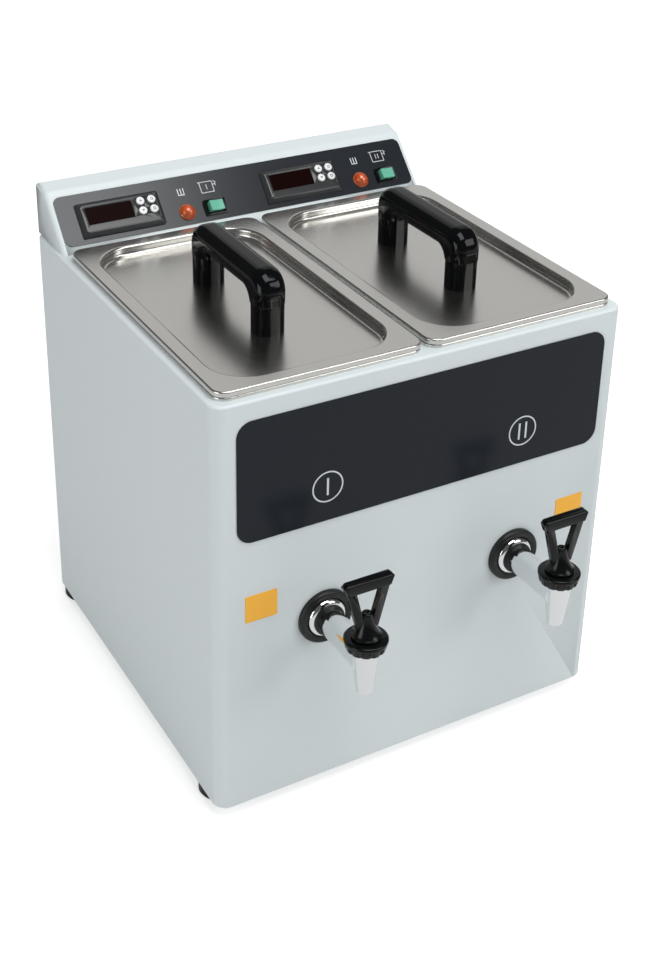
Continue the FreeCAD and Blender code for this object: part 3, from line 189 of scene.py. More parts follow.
class EffectGroup:
    """A shader node group that several finishes share."""

    def __init__(self, name: str, inputs: dict[str, float], outputs: Sequence[str]) -> None:
        """Makes an empty group with float inputs and outputs.

        Args:
            name: The group's name.
            inputs: Input name to its first value.
            outputs: Names of the outputs.
        """
        self.tree = bpy.data.node_groups.new(name, "ShaderNodeTree")
        for label, value in inputs.items():
            socket = self.tree.interface.new_socket(label, in_out="INPUT", socket_type="NodeSocketFloat")
            socket.default_value = value
        for label in outputs:
            self.tree.interface.new_socket(label, in_out="OUTPUT", socket_type="NodeSocketFloat")
        self.bench = Bench(self.tree)
        self.entry = self.bench.add("NodeGroupInput")
        self.end = self.bench.add("NodeGroupOutput")

    def place(self, bench: Bench, **values: float) -> bpy.types.Node:
        """Puts the group into a material.

        Args:
            bench: The material's workbench.
            values: Input values, with spaces in names written as underscores.

        Returns:
            The group's node.
        """
        node = bench.add("ShaderNodeGroup", node_tree=self.tree)
        for label, value in values.items():
            node.inputs[label.replace("_", " ")].default_value = value
        return node


class GrainGroup(EffectGroup):
    """Fine relief and a slow variation, such as paint texture or moulded plastic."""

    def __init__(self) -> None:
        """Builds the group: a fine noise for relief and a coarse one for drift."""
        super().__init__("Surface grain", {"Grain per metre": 2500.0, "Drift per metre": 9.0}, ("Grain", "Drift"))
        place = self.bench.add("ShaderNodeTexCoord").outputs["Object"]
        fine = self.bench.add("ShaderNodeTexNoise", {"Vector": place, "Detail": 3.0, "Roughness": 0.6})
        self.tree.links.new(self.entry.outputs["Grain per metre"], fine.inputs["Scale"])
        slow = self.bench.add("ShaderNodeTexNoise", {"Vector": place, "Detail": 2.0, "Roughness": 0.5})
        self.tree.links.new(self.entry.outputs["Drift per metre"], slow.inputs["Scale"])
        self.tree.links.new(fine.outputs[0], self.end.inputs["Grain"])
        self.tree.links.new(slow.outputs[0], self.end.inputs["Drift"])


class BrushedGroup(EffectGroup):
    """Long fine scratches in one direction, and the haze of handling over them."""

    def __init__(self) -> None:
        """Builds the group: noise stretched along X or Y by its own inputs."""
        inputs = {"Across X": 3000.0, "Across Y": 40.0, "Across Z": 3000.0, "Haze per metre": 14.0}
        super().__init__("Brushed lines", inputs, ("Lines", "Haze"))
        place = self.bench.add("ShaderNodeTexCoord").outputs["Object"]
        stretch = self.bench.add("ShaderNodeCombineXYZ")
        for axis in "XYZ":
            self.tree.links.new(self.entry.outputs[f"Across {axis}"], stretch.inputs[axis])
        spread = self.bench.add("ShaderNodeVectorMath", operation="MULTIPLY")
        self.tree.links.new(place, spread.inputs[0])
        self.tree.links.new(stretch.outputs[0], spread.inputs[1])
        lines = self.bench.add("ShaderNodeTexNoise", {"Scale": 1.0, "Detail": 2.5, "Roughness": 0.65})
        self.tree.links.new(spread.outputs[0], lines.inputs["Vector"])
        haze = self.bench.add("ShaderNodeTexNoise", {"Vector": place, "Detail": 4.0, "Roughness": 0.6})
        self.tree.links.new(self.entry.outputs["Haze per metre"], haze.inputs["Scale"])
        self.tree.links.new(lines.outputs[0], self.end.inputs["Lines"])
        self.tree.links.new(haze.outputs[0], self.end.inputs["Haze"])


class Effects:
    """The shared effect groups, each built once."""

    grain: GrainGroup
    brushed: BrushedGroup

    @classmethod
    def build(cls) -> None:
        """Builds both groups."""
        cls.grain = GrainGroup()
        cls.brushed = BrushedGroup()


@dataclass(frozen=True)
class Finish:
    """A moulded or painted surface with a fine grain; the base of every finish.

    Colours are linear. Grain is relief height in metres.
    """

    name: str
    colour: Colour
    roughness: float
    slot: Slot
    metallic: float = 0.0
    specular: float = 0.5
    coat: float = 0.0
    coat_roughness: float = 0.1
    transmission: float = 0.0
    ior: float = 1.5
    grain_per_metre: float = 2500.0
    grain_height: float = 2e-5
    grain_strength: float = 0.1
    drift_per_metre: float = 9.0
    tint: float = 0.03
    gloss_drift: float = 0.04

    def material(self) -> bpy.types.Material:
        """The finish as a material, made on first use and then shared."""
        found = bpy.data.materials.get(self.name)
        if found:
            return found
        material = bpy.data.materials.new(self.name)
        material.use_nodes = True
        bench = Bench(material.node_tree)
        shader = material.node_tree.nodes["Principled BSDF"]
        self.plain_values(shader)
        self.surface(bench, shader)
        return material

    def plain_values(self, shader: bpy.types.Node) -> None:
        """Sets what is the same all over the surface on the shader's own sockets."""
        shader.inputs["Metallic"].default_value = self.metallic
        shader.inputs["Specular IOR Level"].default_value = self.specular
        shader.inputs["IOR"].default_value = self.ior
        shader.inputs["Coat Weight"].default_value = self.coat
        shader.inputs["Coat Roughness"].default_value = self.coat_roughness
        shader.inputs["Transmission Weight"].default_value = self.transmission

    def surface(self, bench: Bench, shader: bpy.types.Node) -> None:
        """Colour, roughness and relief that change over the surface.

        Args:
            bench: The material's workbench.
            shader: The material's shader.
        """
        group = Effects.grain.place(
            bench, Grain_per_metre=self.grain_per_metre, Drift_per_metre=self.drift_per_metre
        )
        self.shades(bench, shader, group.outputs["Drift"])
        bench.set(shader, "Roughness", self.gloss(bench, group.outputs["Drift"]))
        self.relief(bench, shader, group.outputs["Grain"])

    def gloss(self, bench: Bench, value: bpy.types.NodeSocket) -> bpy.types.NodeSocket:
        """The roughness, a little lower or higher by a value."""
        return bench.scaled(value, self.roughness - self.gloss_drift, self.roughness + self.gloss_drift)

    def shades(self, bench: Bench, shader: bpy.types.Node, value: bpy.types.NodeSocket) -> None:
        """A slightly darker and a slightly lighter shade, mixed by a value.

        Args:
            bench: The material's workbench.
            shader: The shader that takes the colour.
            value: The socket that mixes the two shades.
        """
        dark = tuple(c * (1 - self.tint) for c in self.colour) + (1.0,)
        light = tuple(min(1.0, c * (1 + self.tint)) for c in self.colour) + (1.0,)
        mix = bench.add("ShaderNodeMix", data_type="RGBA")
        bench.set(mix, 0, value)
        bench.set(mix, 6, dark)
        bench.set(mix, 7, light)
        bench.set(shader, "Base Color", mix.outputs[2])

    def relief(self, bench: Bench, shader: bpy.types.Node, value: bpy.types.NodeSocket) -> None:
        """Fine bumps from a value.

        Args:
            bench: The material's workbench.
            shader: The shader that takes the bumps.
            value: The socket that gives the height.
        """
        bump = bench.add(
            "ShaderNodeBump", {"Height": value, "Distance": self.grain_height, "Strength": self.grain_strength}
        )
        bench.set(shader, "Normal", bump.outputs[0])


@dataclass(frozen=True)
class BrushedFinish(Finish):
    """Ground or brushed metal: long fine lines, with a slow haze."""

    along: str = "Y"
    line_length: float = 0.03
    line_width: float = 0.0003
    haze: float = 0.05

    def surface(self, bench: Bench, shader: bpy.types.Node) -> None:
        """Lines change the roughness and relief, haze the colour and roughness.

        Args:
            bench: The material's workbench.
            shader: The material's shader.
        """
        spread = {axis: 1 / self.line_width for axis in "XYZ"}
        spread[self.along] = 1 / self.line_length
        group = Effects.brushed.place(bench, Across_X=spread["X"], Across_Y=spread["Y"], Across_Z=spread["Z"])
        self.shades(bench, shader, group.outputs["Lines"])
        lines = self.gloss(bench, group.outputs["Lines"])
        haze = bench.scaled(group.outputs["Haze"], -self.haze, self.haze)
        both = bench.add("ShaderNodeMath", operation="ADD", use_clamp=True)
        bench.set(both, 0, lines)
        bench.set(both, 1, haze)
        bench.set(shader, "Roughness", both.outputs[0])
        self.relief(bench, shader, group.outputs["Lines"])


@dataclass(frozen=True)
class BoardFinish(Finish):
    """Green circuit board with paler tracks."""

    track: Colour = (0.12, 0.42, 0.2)
    tracks_per_metre: float = 260.0
    track_width: float = 0.06

    def surface(self, bench: Bench, shader: bpy.types.Node) -> None:
        """Tracks from a brick pattern over the plain board.

        Args:
            bench: The material's workbench.
            shader: The material's shader.
        """
        super().surface(bench, shader)
        place = bench.add("ShaderNodeTexCoord").outputs["Object"]
        brick = bench.add(
            "ShaderNodeTexBrick",
            {"Vector": place, "Scale": self.tracks_per_metre, "Mortar Size": self.track_width},
        )
        mix = bench.add("ShaderNodeMix", data_type="RGBA")
        bench.set(mix, 0, brick.outputs["Fac"])
        bench.set(mix, 6, (*self.colour, 1.0))
        bench.set(mix, 7, (*self.track, 1.0))
        bench.set(shader, "Base Color", mix.outputs[2])


PAINT = Finish(
    "Pale powder coat", (0.65, 0.71, 0.725), 0.42, Slot.PAINT, grain_per_metre=1500.0, grain_height=4e-5,
    grain_strength=0.16, drift_per_metre=4.0, tint=0.015, gloss_drift=0.03,
)
STAINLESS = BrushedFinish(
    "Satin stainless", (0.66, 0.65, 0.62), 0.25, Slot.STAINLESS, metallic=1.0, along="Y", line_length=0.05,
    line_width=0.00035, grain_height=6e-6, grain_strength=0.05, tint=0.05, gloss_drift=0.035, haze=0.03,
)
PIPE_STEEL = BrushedFinish(
    "Drawn steel tube", (0.6, 0.6, 0.58), 0.32, Slot.PIPE, metallic=1.0, along="Z", grain_strength=0.1,
    tint=0.04,
)
CHROME = Finish(
    "Bright chrome", (0.86, 0.87, 0.88), 0.045, Slot.CHROME, metallic=1.0, grain_per_metre=900.0,
    grain_height=2e-6, grain_strength=0.1, tint=0.01, gloss_drift=0.015,
)
BRASS = Finish("Turned brass", (0.72, 0.52, 0.22), 0.3, Slot.BRASS, metallic=1.0, tint=0.05)
ZINC = Finish(
    "Zinc plate", (0.66, 0.68, 0.7), 0.3, Slot.SCREW, metallic=1.0, grain_per_metre=900.0, tint=0.06,
    gloss_drift=0.06,
)
THERMOSET = Finish(
    "Black thermoset", (0.0022, 0.0026, 0.003), 0.07, Slot.GRIP, specular=0.2,
    grain_per_metre=160.0, grain_height=1.2e-5, grain_strength=0.04, tint=0.1, gloss_drift=0.02,
)
# Lighter grey for the rings at the handle seams: a painted highlight along the edge of the step between posts and
# grip.
SEAM_HIGHLIGHT = Finish("Moulding edge", (0.12, 0.123, 0.128), 0.16, Slot.GRIP, specular=0.8, tint=0.1)
SATIN_BLACK = Finish(
    "Satin black moulding", (0.0035, 0.004, 0.0042), 0.17, Slot.BLACK, specular=0.25, grain_per_metre=3200.0,
    grain_height=2e-5, grain_strength=0.12, tint=0.08, gloss_drift=0.05,
)
BEZEL_GREY = Finish(
    "Dark grey moulding", (0.03, 0.031, 0.033), 0.22, Slot.BLACK, grain_per_metre=3600.0, grain_height=2e-5,
    grain_strength=0.1, tint=0.06, gloss_drift=0.04,
)
FILM = Finish(
    "Dark printed film", (0.0135, 0.0165, 0.022), 0.21, Slot.FILM, specular=0.46, grain_per_metre=4200.0,
    grain_height=1.2e-5, grain_strength=0.1, drift_per_metre=5.0, tint=0.06, gloss_drift=0.03,
)
FRONT_FILM = replace(FILM, name="Dark front film", specular=0.15)
PRINT = Finish("Pale print", (0.62, 0.65, 0.67), 0.45, Slot.FILM, grain_per_metre=4200.0, tint=0.04)
AMBER = Finish(
    "Amber film", (0.95, 0.47, 0.035), 0.32, Slot.AMBER, grain_per_metre=4200.0, grain_height=1e-5, tint=0.03,
)
RUBBER = Finish(
    "Soft black rubber", (0.007, 0.0075, 0.008), 0.38, Slot.RUBBER, specular=0.36, grain_per_metre=2400.0,
    grain_height=3e-5, grain_strength=0.2, tint=0.12, gloss_drift=0.07,
)
SILICONE = Finish("White silicone", (0.72, 0.71, 0.68), 0.42, Slot.SILICONE, tint=0.03)
WINDOW = Finish(
    "Tinted window", (0.008, 0.0025, 0.002), 0.2, Slot.WINDOW, specular=0.01, grain_strength=0.02, tint=0.15,
    gloss_drift=0.04,
)
# The lens's own colour is orange; its strong lighter and darker mottling is painted highlight and shade for the
# sparkle of the lens's facets.
LAMP_LENS = Finish(
    "Orange lens", (0.85, 0.1, 0.012), 0.12, Slot.LAMP, specular=1.0, coat=0.5, coat_roughness=0.04,
    transmission=0.25, grain_per_metre=300.0, grain_height=6e-4, grain_strength=0.7, drift_per_metre=320.0, tint=0.6,
    gloss_drift=0.03,
)
GREEN_KEY = Finish(
    "Green rocker", (0.16, 0.52, 0.38), 0.22, Slot.GREEN, coat=0.3, coat_roughness=0.08, transmission=0.12,
    grain_per_metre=3000.0, tint=0.05,
)
WHITE_KEY = Finish("White key", (0.78, 0.79, 0.80), 0.3, Slot.WHITE, grain_per_metre=3000.0, tint=0.02)
KEY_MARK = Finish("Grey key mark", (0.16, 0.165, 0.175), 0.45, Slot.WHITE, tint=0.04)
WOOL = Finish(
    "Mineral wool", (0.50, 0.46, 0.30), 0.95, Slot.WOOL, grain_per_metre=700.0, grain_height=8e-4,
    grain_strength=0.7, tint=0.2,
)
HEATER = Finish("Heating band", (0.42, 0.12, 0.05), 0.6, Slot.HEATER, grain_per_metre=1500.0, grain_strength=0.3)
BOARD = BoardFinish("Circuit board", (0.03, 0.2, 0.08), 0.4, Slot.BOARD)


@dataclass(frozen=True)
class Plane:
    """A flat working plane: its zero point and its right, up and outward directions."""

    zero: Vector
    right: Vector
    up: Vector
    out: Vector

    def axes(self) -> tuple[Vector, Vector, Vector]:
        """The right, up and outward directions."""
        return self.right, self.up, self.out

    def place(self, across: float, rise: float, turn: float = 0.0) -> Matrix:
        """A matrix that lays a piece, drawn flat with Z outward, on the plane.

        Args:
            across: Distance to the right of the zero point.
            rise: Distance up the plane.
            turn: Turn in the plane, in degrees.

        Returns:
            The placing matrix.
        """
        spot = self.zero + self.right * across + self.up * rise
        axes = Matrix(self.axes()).transposed().to_4x4()
        return Matrix.Translation(spot) @ axes @ Matrix.Rotation(math.radians(turn), 4, "Z")


def arc(centre: tuple[float, float], radius: float, start: float, end: float, steps: int) -> Outline:
    """Points of an arc, in degrees from start to end.

    Args:
        centre: Its middle.
        radius: Its radius.
        start: Its first angle, in degrees.
        end: Its last angle, in degrees.
        steps: Number of straight steps along it.

    Returns:
        The points, both ends among them.
    """
    points = []
    for step in range(steps + 1):
        angle = math.radians(start + (end - start) * step / steps)
        points.append((centre[0] + radius * math.cos(angle), centre[1] + radius * math.sin(angle)))
    return points


def rounded(width: float, height: float, radius: float, steps: int = 6) -> Outline:
    """A rounded rectangle about zero, counter-clockwise.

    Args:
        width: Its full width.
        height: Its full height.
        radius: Radius of its corners.
        steps: Number of steps in a corner.

    Returns:
        Its outline.
    """
    x, y = width / 2 - radius, height / 2 - radius
    corners = ((x, y, 0), (-x, y, 90), (-x, -y, 180), (x, -y, 270))
    points: Outline = []
    for cx, cy, angle in corners:
        points += arc((cx, cy), radius, angle, angle + 90, steps)
    return points


def circle(radius: float, steps: int = 48) -> Outline:
    """A round outline about zero."""
    return arc((0.0, 0.0), radius, 0, 360 * (steps - 1) / steps, steps - 1)


class Shape:
    """Gathers closed solids into one mesh."""

    def __init__(self) -> None:
        """Starts with nothing."""
        self.mesh = bmesh.new()

    def loop(self, points: Iterable[Vector]) -> list[bmesh.types.BMVert]:
        """New vertices at the points."""
        return [self.mesh.verts.new(point) for point in points]

    def wall(self, lower: list[bmesh.types.BMVert], upper: list[bmesh.types.BMVert]) -> None:
        """Quads between two closed loops.

        Args:
            lower: The first loop.
            upper: The second, with as many vertices.
        """
        count = len(lower)
        for i in range(count):
            j = (i + 1) % count
            self.mesh.faces.new((lower[i], lower[j], upper[j], upper[i]))

    def prism(self, outline: Outline, low: float, high: float, place: Matrix) -> "Shape":
        """A flat plate with the outline's form.

        Args:
            outline: Points of the plate's edge, counter-clockwise.
            low: Height of the lower face.
            high: Height of the upper face.
            place: Where the plate goes.

        Returns:
            This shape, to add more.
        """
        loops = [self.loop(place @ Vector((x, y, z)) for x, y in outline) for z in (low, high)]
        self.wall(*loops)
        self.mesh.faces.new(list(reversed(loops[0])))
        self.mesh.faces.new(loops[1])
        return self

    def ring(self, outer: Outline, inner: Outline, low: float, high: float, place: Matrix) -> "Shape":
        """A flat frame between two outlines with the same number of points.

        Args:
            outer: Its outer edge.
            inner: Its inner edge.
            low: Height of its lower face.
            high: Height of its upper face.
            place: Where it goes.

        Returns:
            This shape, to add more.
        """
        loops = []
        for outline, z in ((outer, low), (outer, high), (inner, high), (inner, low)):
            loops.append(self.loop(place @ Vector((x, y, z)) for x, y in outline))
        for i in range(4):
            self.wall(loops[i], loops[(i + 1) % 4])
        return self

    def bar(self, start: tuple[float, float], end: tuple[float, float], width: float, height: float,
            place: Matrix) -> "Shape":
        """A straight flat stroke between two points of a plane.

        Args:
            start: Middle of its first end.
            end: Middle of its other end.
            width: Its width.
            height: Its height over the plane.
            place: Where the plane is.

        Returns:
            This shape, to add more.
        """
        a, b = Vector(start), Vector(end)
        along = (b - a).normalized()
        side = Vector((-along.y, along.x)) * width / 2
        corners = (a - side, b - side, b + side, a + side)
        return self.prism([(c.x, c.y) for c in corners], 0.0, height, place)

    def piece(self, name: str, finish: Finish, body: str, bevel: float = 0.0) -> bpy.types.Object:
        """Turns the gathered solids into a finished piece.

        Args:
            name: The piece's name.
            finish: Its finish.
            body: The frame body that it rides on.
            bevel: Width of its rounded edges, or 0.

        Returns:
            The new object.
        """
        bmesh.ops.remove_doubles(self.mesh, verts=self.mesh.verts, dist=DOUBLES_DISTANCE)
        bmesh.ops.recalc_face_normals(self.mesh, faces=self.mesh.faces)
        data = bpy.data.meshes.new(name)
        self.mesh.to_mesh(data)
        self.mesh.free()
        return finished(name, data, finish, body, bevel)


def finished(
    name: str, data: bpy.types.Mesh, finish: Finish, body: str, bevel: float = 0.0
) -> bpy.types.Object:
    """Makes an object of a mesh, with its finish, shading and body.

    Args:
        name: The object's name.
        data: Its mesh, placed in the frame.
        finish: Its finish.
        body: The frame body that it rides on.
        bevel: Width of its rounded edges, or 0.

    Returns:
        The new object.
    """
    for polygon in data.polygons:
        polygon.use_smooth = True
    data.set_sharp_from_angle(angle=math.radians(SMOOTH_ANGLE))
    piece = bpy.data.objects.new(name, data)
    bpy.context.scene.collection.objects.link(piece)
    data.materials.clear()
    data.materials.append(finish.material())
    if bevel:
        edge = piece.modifiers.new("Rounded edges", "BEVEL")
        edge.width = bevel
        edge.segments = BEVEL_STEPS
        edge.limit_method = "ANGLE"
        edge.angle_limit = math.radians(BEVEL_ANGLE)
        edge.harden_normals = True
    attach(piece, body)
    log.info("%s: %d faces on %s", name, len(data.polygons), body)
    return piece


def body_of(node: str) -> str:
    """The frame body that a node rides on."""
    return frame["nodes"][node]["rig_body"]


def refined(node: str, finish: Finish) -> bpy.types.Object:
    """A merged, smoothly shaded copy of a frame node, which it replaces.

    Args:
        node: The frame node.
        finish: The copy's finish.

    Returns:
        The copy.
    """
    source = bmesh.new()
    source.from_mesh(frame["nodes"][node].data)
    bmesh.ops.remove_doubles(source, verts=source.verts, dist=MERGE_DISTANCE)
    bmesh.ops.dissolve_degenerate(source, edges=source.edges, dist=MERGE_DISTANCE / 4)
    data = bpy.data.meshes.new(f"{node}_surface")
    source.to_mesh(data)
    source.free()
    piece = finished(data.name, data, finish, body_of(node))
    even = piece.modifiers.new("Even shading", "WEIGHTED_NORMAL")
    even.keep_sharp = True
    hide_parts(node)
    return piece


@dataclass
class RepeatTree:
    """A Geometry Nodes tree that sets one piece at every point of a mesh."""

    name: str
    finish: Finish

    def baked(self, points: Sequence[Vector], item: bpy.types.Object, body: str) -> bpy.types.Object:
        """Copies item to every point and bakes the copies to one plain mesh.

        Args:
            points: The places, in the frame.
            item: The piece to repeat, drawn about zero. It is removed afterwards.
            body: The frame body that the copies ride on.

        Returns:
            The baked object.
        """
        data = bpy.data.meshes.new(self.name)
        data.from_pydata([tuple(p) for p in points], [], [])
        holder = bpy.data.objects.new(f"{self.name}_points", data)
        bpy.context.scene.collection.objects.link(holder)
        tree = bpy.data.node_groups.new(self.name, "GeometryNodeTree")
        tree.interface.new_socket("Geometry", in_out="INPUT", socket_type="NodeSocketGeometry")
        kind = tree.interface.new_socket("Item", in_out="INPUT", socket_type="NodeSocketObject")
        size = tree.interface.new_socket("Size", in_out="INPUT", socket_type="NodeSocketFloat")
        tree.interface.new_socket("Geometry", in_out="OUTPUT", socket_type="NodeSocketGeometry")
        bench = Bench(tree)
        entry = bench.add("NodeGroupInput")
        info = bench.add("GeometryNodeObjectInfo", {"Object": entry.outputs["Item"]}, transform_space="ORIGINAL")
        copies = bench.add(
            "GeometryNodeInstanceOnPoints",
            {
                "Points": entry.outputs["Geometry"],
                "Instance": info.outputs["Geometry"],
                "Scale": entry.outputs["Size"],
            },
        )
        real = bench.add("GeometryNodeRealizeInstances", {"Geometry": copies.outputs[0]})
        dressed = bench.add("GeometryNodeSetMaterial", {"Geometry": real.outputs[0]})
        dressed.inputs["Material"].default_value = self.finish.material()
        bench.add("NodeGroupOutput", {"Geometry": dressed.outputs[0]})
        maker = holder.modifiers.new(self.name, "NODES")
        maker.node_group = tree
        maker[kind.identifier] = item
        maker[size.identifier] = 1.0
        bpy.context.view_layer.update()
        graph = bpy.context.evaluated_depsgraph_get()
        baked = bpy.data.meshes.new_from_object(holder.evaluated_get(graph))
        baked.name = self.name
        holder.modifiers.clear()
        bpy.data.objects.remove(holder)
        bpy.data.objects.remove(item)
        return finished(self.name, baked, self.finish, body)


def loose(shape: Shape, name: str) -> bpy.types.Object:
    """A shape as a bare object about zero, for a tree to repeat.

    Args:
        shape: The shape, which is used up.
        name: The object's name.

    Returns:
        The object, with no finish.
    """
    bmesh.ops.recalc_face_normals(shape.mesh, faces=shape.mesh.faces)
    data = bpy.data.meshes.new(name)
    shape.mesh.to_mesh(data)
    shape.mesh.free()
    item = bpy.data.objects.new(name, data)
    bpy.context.scene.collection.objects.link(item)
    return item


@dataclass
class Casing:
    """Folded sheet casing, base plate, feet and back panel."""

    slot_width: float = mm(46.0)
    slot_height: float = mm(4.0)
    slot_corner: float = mm(1.9)
    slot_rim: float = mm(0.9)
    rim_proud: float = mm(0.35)
    rows: int = 6
    row_pitch: float = mm(10.0)
    columns: int = 3
    column_pitch: float = mm(60.0)
    top_row: float = mm(257.0)

    def build(self) -> None:
        """Dresses the sheet parts, feet and fixings."""
        for node in ("outer_casing", "rear_panel", "base_plate"):
            refined(node, PAINT)
        refined("feet", RUBBER)
        refined("foot_screws", ZINC)
        refined("rear_panel_screws", ZINC)
        self.vent_rims()

    def vent_rims(self) -> None:
        """Raised rims of the pressed air slots in the back panel."""
        _, high = low_high("rear_panel")
        wide, tall = (size + 2 * self.slot_rim for size in (self.slot_width, self.slot_height))
        outer = rounded(wide, tall, self.slot_corner + self.slot_rim)
        inner = rounded(self.slot_width, self.slot_height, self.slot_corner)
        face_back = Matrix.Rotation(math.radians(-90), 4, "X")
        rim = Shape().ring(outer, inner, 0.0, self.rim_proud, face_back)
        points = []
        for column in range(self.columns):
            for row in range(self.rows):
                x = (column - (self.columns - 1) / 2) * self.column_pitch
                points.append(Vector((x, high.y, self.top_row - row * self.row_pitch)))
        RepeatTree("rear_vent_rims", PAINT).baked(points, loose(rim, "vent_rim"), "cabinet")


@dataclass
class Tanks:
    """The two pans with their lids and handles."""

    seam_height: float = mm(0.4)
    seam_edge: float = mm(0.12)
    post_depth: float = mm(22.0)
    seam_corner: float = mm(9.3)

    def build(self) -> None:
        """Dresses both tanks, and what lies round and under them inside the casing."""
        for number in (1, 2):
            refined(f"tank_{number}", STAINLESS)
            refined(f"lid_{number}", STAINLESS)
            refined(f"lid_{number}_grip", THERMOSET)
            refined(f"lid_{number}_handle_posts", THERMOSET)
            refined(f"lid_{number}_handle_screws", ZINC)
            self.seam_highlight_rings(number)
        refined("tank_insulation", WOOL)
        refined("tank_heaters", HEATER)
        refined("temperature_sensors", PIPE_STEEL)
        refined("outlet_elbows", PIPE_STEEL)
        refined("power_board", BOARD)

    def seam_highlight_rings(self, number: int) -> None:
        """A thin ring where each post meets the grip, in a lighter grey than the grip: a painted highlight along the
        edge of the moulded step.

        Args:
            number: The tank's number.
        """
        grip_low, grip_high = low_high(f"lid_{number}_grip")
        post_low, _ = low_high(f"lid_{number}_handle_posts")
        step = post_low.x - grip_low.x
        width = grip_high.x - grip_low.x
        depth = 2 * (post_low.y - grip_low.y) + self.post_depth
        middle = middle_of(f"lid_{number}_grip")
        shape = Shape()
        for side in SIDES:
            y = middle.y + side * ((grip_high.y - grip_low.y) / 2 - depth / 2)
            place = Matrix.Translation(Vector((middle.x, y, grip_low.z)))
            outer = rounded(width - step / 2, depth - step / 2, self.seam_corner)
            inner = rounded(width - 2 * step, depth - 2 * step, self.seam_corner - step)
            shape.ring(outer, inner, -self.seam_height / 2, self.seam_height / 2, place)
        shape.piece(f"lid_{number}_seams", SEAM_HIGHLIGHT, body_of(f"lid_{number}_grip"), self.seam_edge)


@dataclass
class Inlet:
    """Mains inlet on the back."""

    def build(self) -> None:
        """Dresses the inlet's moulding and pins."""
        refined("inlet_body", SATIN_BLACK)
        refined("inlet_pins", ZINC)


@dataclass
class ControlHead:
    """Sloped control head with its overlay, pictograms, controllers, lamps and switches."""

    slope: float = 46.3
    film_thick: float = mm(0.8)
    stroke: float = mm(0.8)
    thin_stroke: float = mm(0.56)
    icon_up: float = mm(30.0)
    heat_x: float = mm(29.2)
    heat_drop: float = mm(3.2)
    heat_gap: float = mm(2.5)
    heat_height: float = mm(5.8)
    vessel_x: float = mm(53.1)
    vessel_width: float = mm(11.4)
    vessel_height: float = mm(9.6)
    vessel_lip: float = mm(1.4)
    number_gap: float = mm(2.6)
    number_half: float = mm(2.2)
    spout_out: float = mm(2.6)
    spout_up: float = mm(1.6)
    spout_half: float = mm(1.4)
    handle_from: float = mm(1.4)
    handle_to: float = mm(3.6)
    mark_size: float = mm(1.3)
    plane: Plane = field(init=False)

    def __post_init__(self) -> None:
        """Finds the overlay's outer face from the frame."""
        low, _ = low_high("control_overlay")
        slope = math.radians(self.slope)
        up = Vector((0.0, math.cos(slope), math.sin(slope)))
        out = Vector((0.0, -math.sin(slope), math.cos(slope)))
        zero = Vector((0.0, low.y, low.z + self.film_thick * math.cos(slope)))
        self.plane = Plane(zero, Vector((1.0, 0.0, 0.0)), up, out)

    def build(self) -> None:
        """Builds everything on the head."""
        refined("head_cover", PAINT)
        refined("control_overlay", FILM)
        for number in (1, 2):
            refined(f"controller_{number}", BEZEL_GREY)
            refined(f"switch_{number}_rocker", GREEN_KEY)
            for key in ("down", "up", "set", "lamp"):
                refined(f"controller_{number}_{key}_button", WHITE_KEY)
                self.key_mark(number, key)
            self.heat_icon(number)
            self.tank_icon(number)
        refined("controller_windows", WINDOW)
        refined("lamp_lenses", LAMP_LENS)
        refined("switch_frames", SATIN_BLACK)

    def key_mark(self, number: int, key: str) -> None:
        """The small grey mark on a controller key: an arrow, a ring or a square.

        Args:
            number: The controller's number.
            key: Which of its keys.
        """
        node = f"controller_{number}_{key}_button"
        middle = middle_of(node)
        rise = max((point.co - middle).dot(self.plane.out) for point in frame["nodes"][node].data.vertices)
        on_key = Plane(middle + self.plane.out * (rise - PRINT_HEIGHT / 2), *self.plane.axes())
        place = on_key.place(0.0, 0.0, 180.0 if key == "down" else 0.0)
        size = self.mark_size
        shape = Shape()
        if key in ("up", "down"):
            arrow = [(-size, -size * 0.6), (size, -size * 0.6), (0.0, size * 0.9)]
            shape.prism(arrow, 0.0, PRINT_HEIGHT, place)
        elif key == "set":
            outer, inner = rounded(2 * size, 2 * size, size * 0.3), rounded(size, size, size * 0.15)
            shape.ring(outer, inner, 0.0, PRINT_HEIGHT, place)
        else:
            shape.ring(circle(size, 24), circle(size * 0.55, 24), 0.0, PRINT_HEIGHT, place)
        shape.piece(f"{node}_mark", KEY_MARK, body_of(node))

    def heat_icon(self, number: int) -> None:
        """Three upright strokes over a base line, above the lamp.

        Args:
            number: The tank's number.
        """
        place = self.plane.place(tank_x(number) + self.heat_x, self.icon_up - self.heat_drop)
        shape = Shape()
        for step in (-1, 0, 1):
            x = step * self.heat_gap
            shape.bar((x, 0.0), (x, self.heat_height), self.stroke, PRINT_HEIGHT, place)
        half = self.heat_gap + self.stroke / 2
        shape.bar((-half, 0.0), (half, 0.0), self.stroke, PRINT_HEIGHT, place)
        shape.piece(f"heat_icon_{number}", PRINT, "cabinet")

    def tank_icon(self, number: int) -> None:
        """An open vessel with its number and a small tap, above the switch.

        Args:
            number: The tank's number, which is also the number of strokes in the vessel.
        """
        half, deep = self.vessel_width / 2, self.vessel_height / 2
        spout = half + self.spout_out
        spout_top = self.spout_up + self.spout_half
        strokes = [
            ((-half, deep), (-half, -deep)),
            ((-half, -deep), (half, -deep)),
            ((half, -deep), (half, deep)),
            ((-half - self.vessel_lip, deep), (half, deep)),
            ((half, self.spout_up), (spout, self.spout_up)),
            ((spout, self.spout_up - self.spout_half), (spout, spout_top)),
            ((half + self.handle_from, deep), (half + self.handle_to, spout_top)),
        ]
        for step in range(number):
            x = (step - (number - 1) / 2) * self.number_gap
            strokes.append(((x, -self.number_half), (x, self.number_half)))
        place = self.plane.place(tank_x(number) + self.vessel_x, self.icon_up)
        shape = Shape()
        for start, end in strokes:
            shape.bar(start, end, self.thin_stroke, PRINT_HEIGHT, place)
        shape.piece(f"tank_icon_{number}", PRINT, "cabinet")


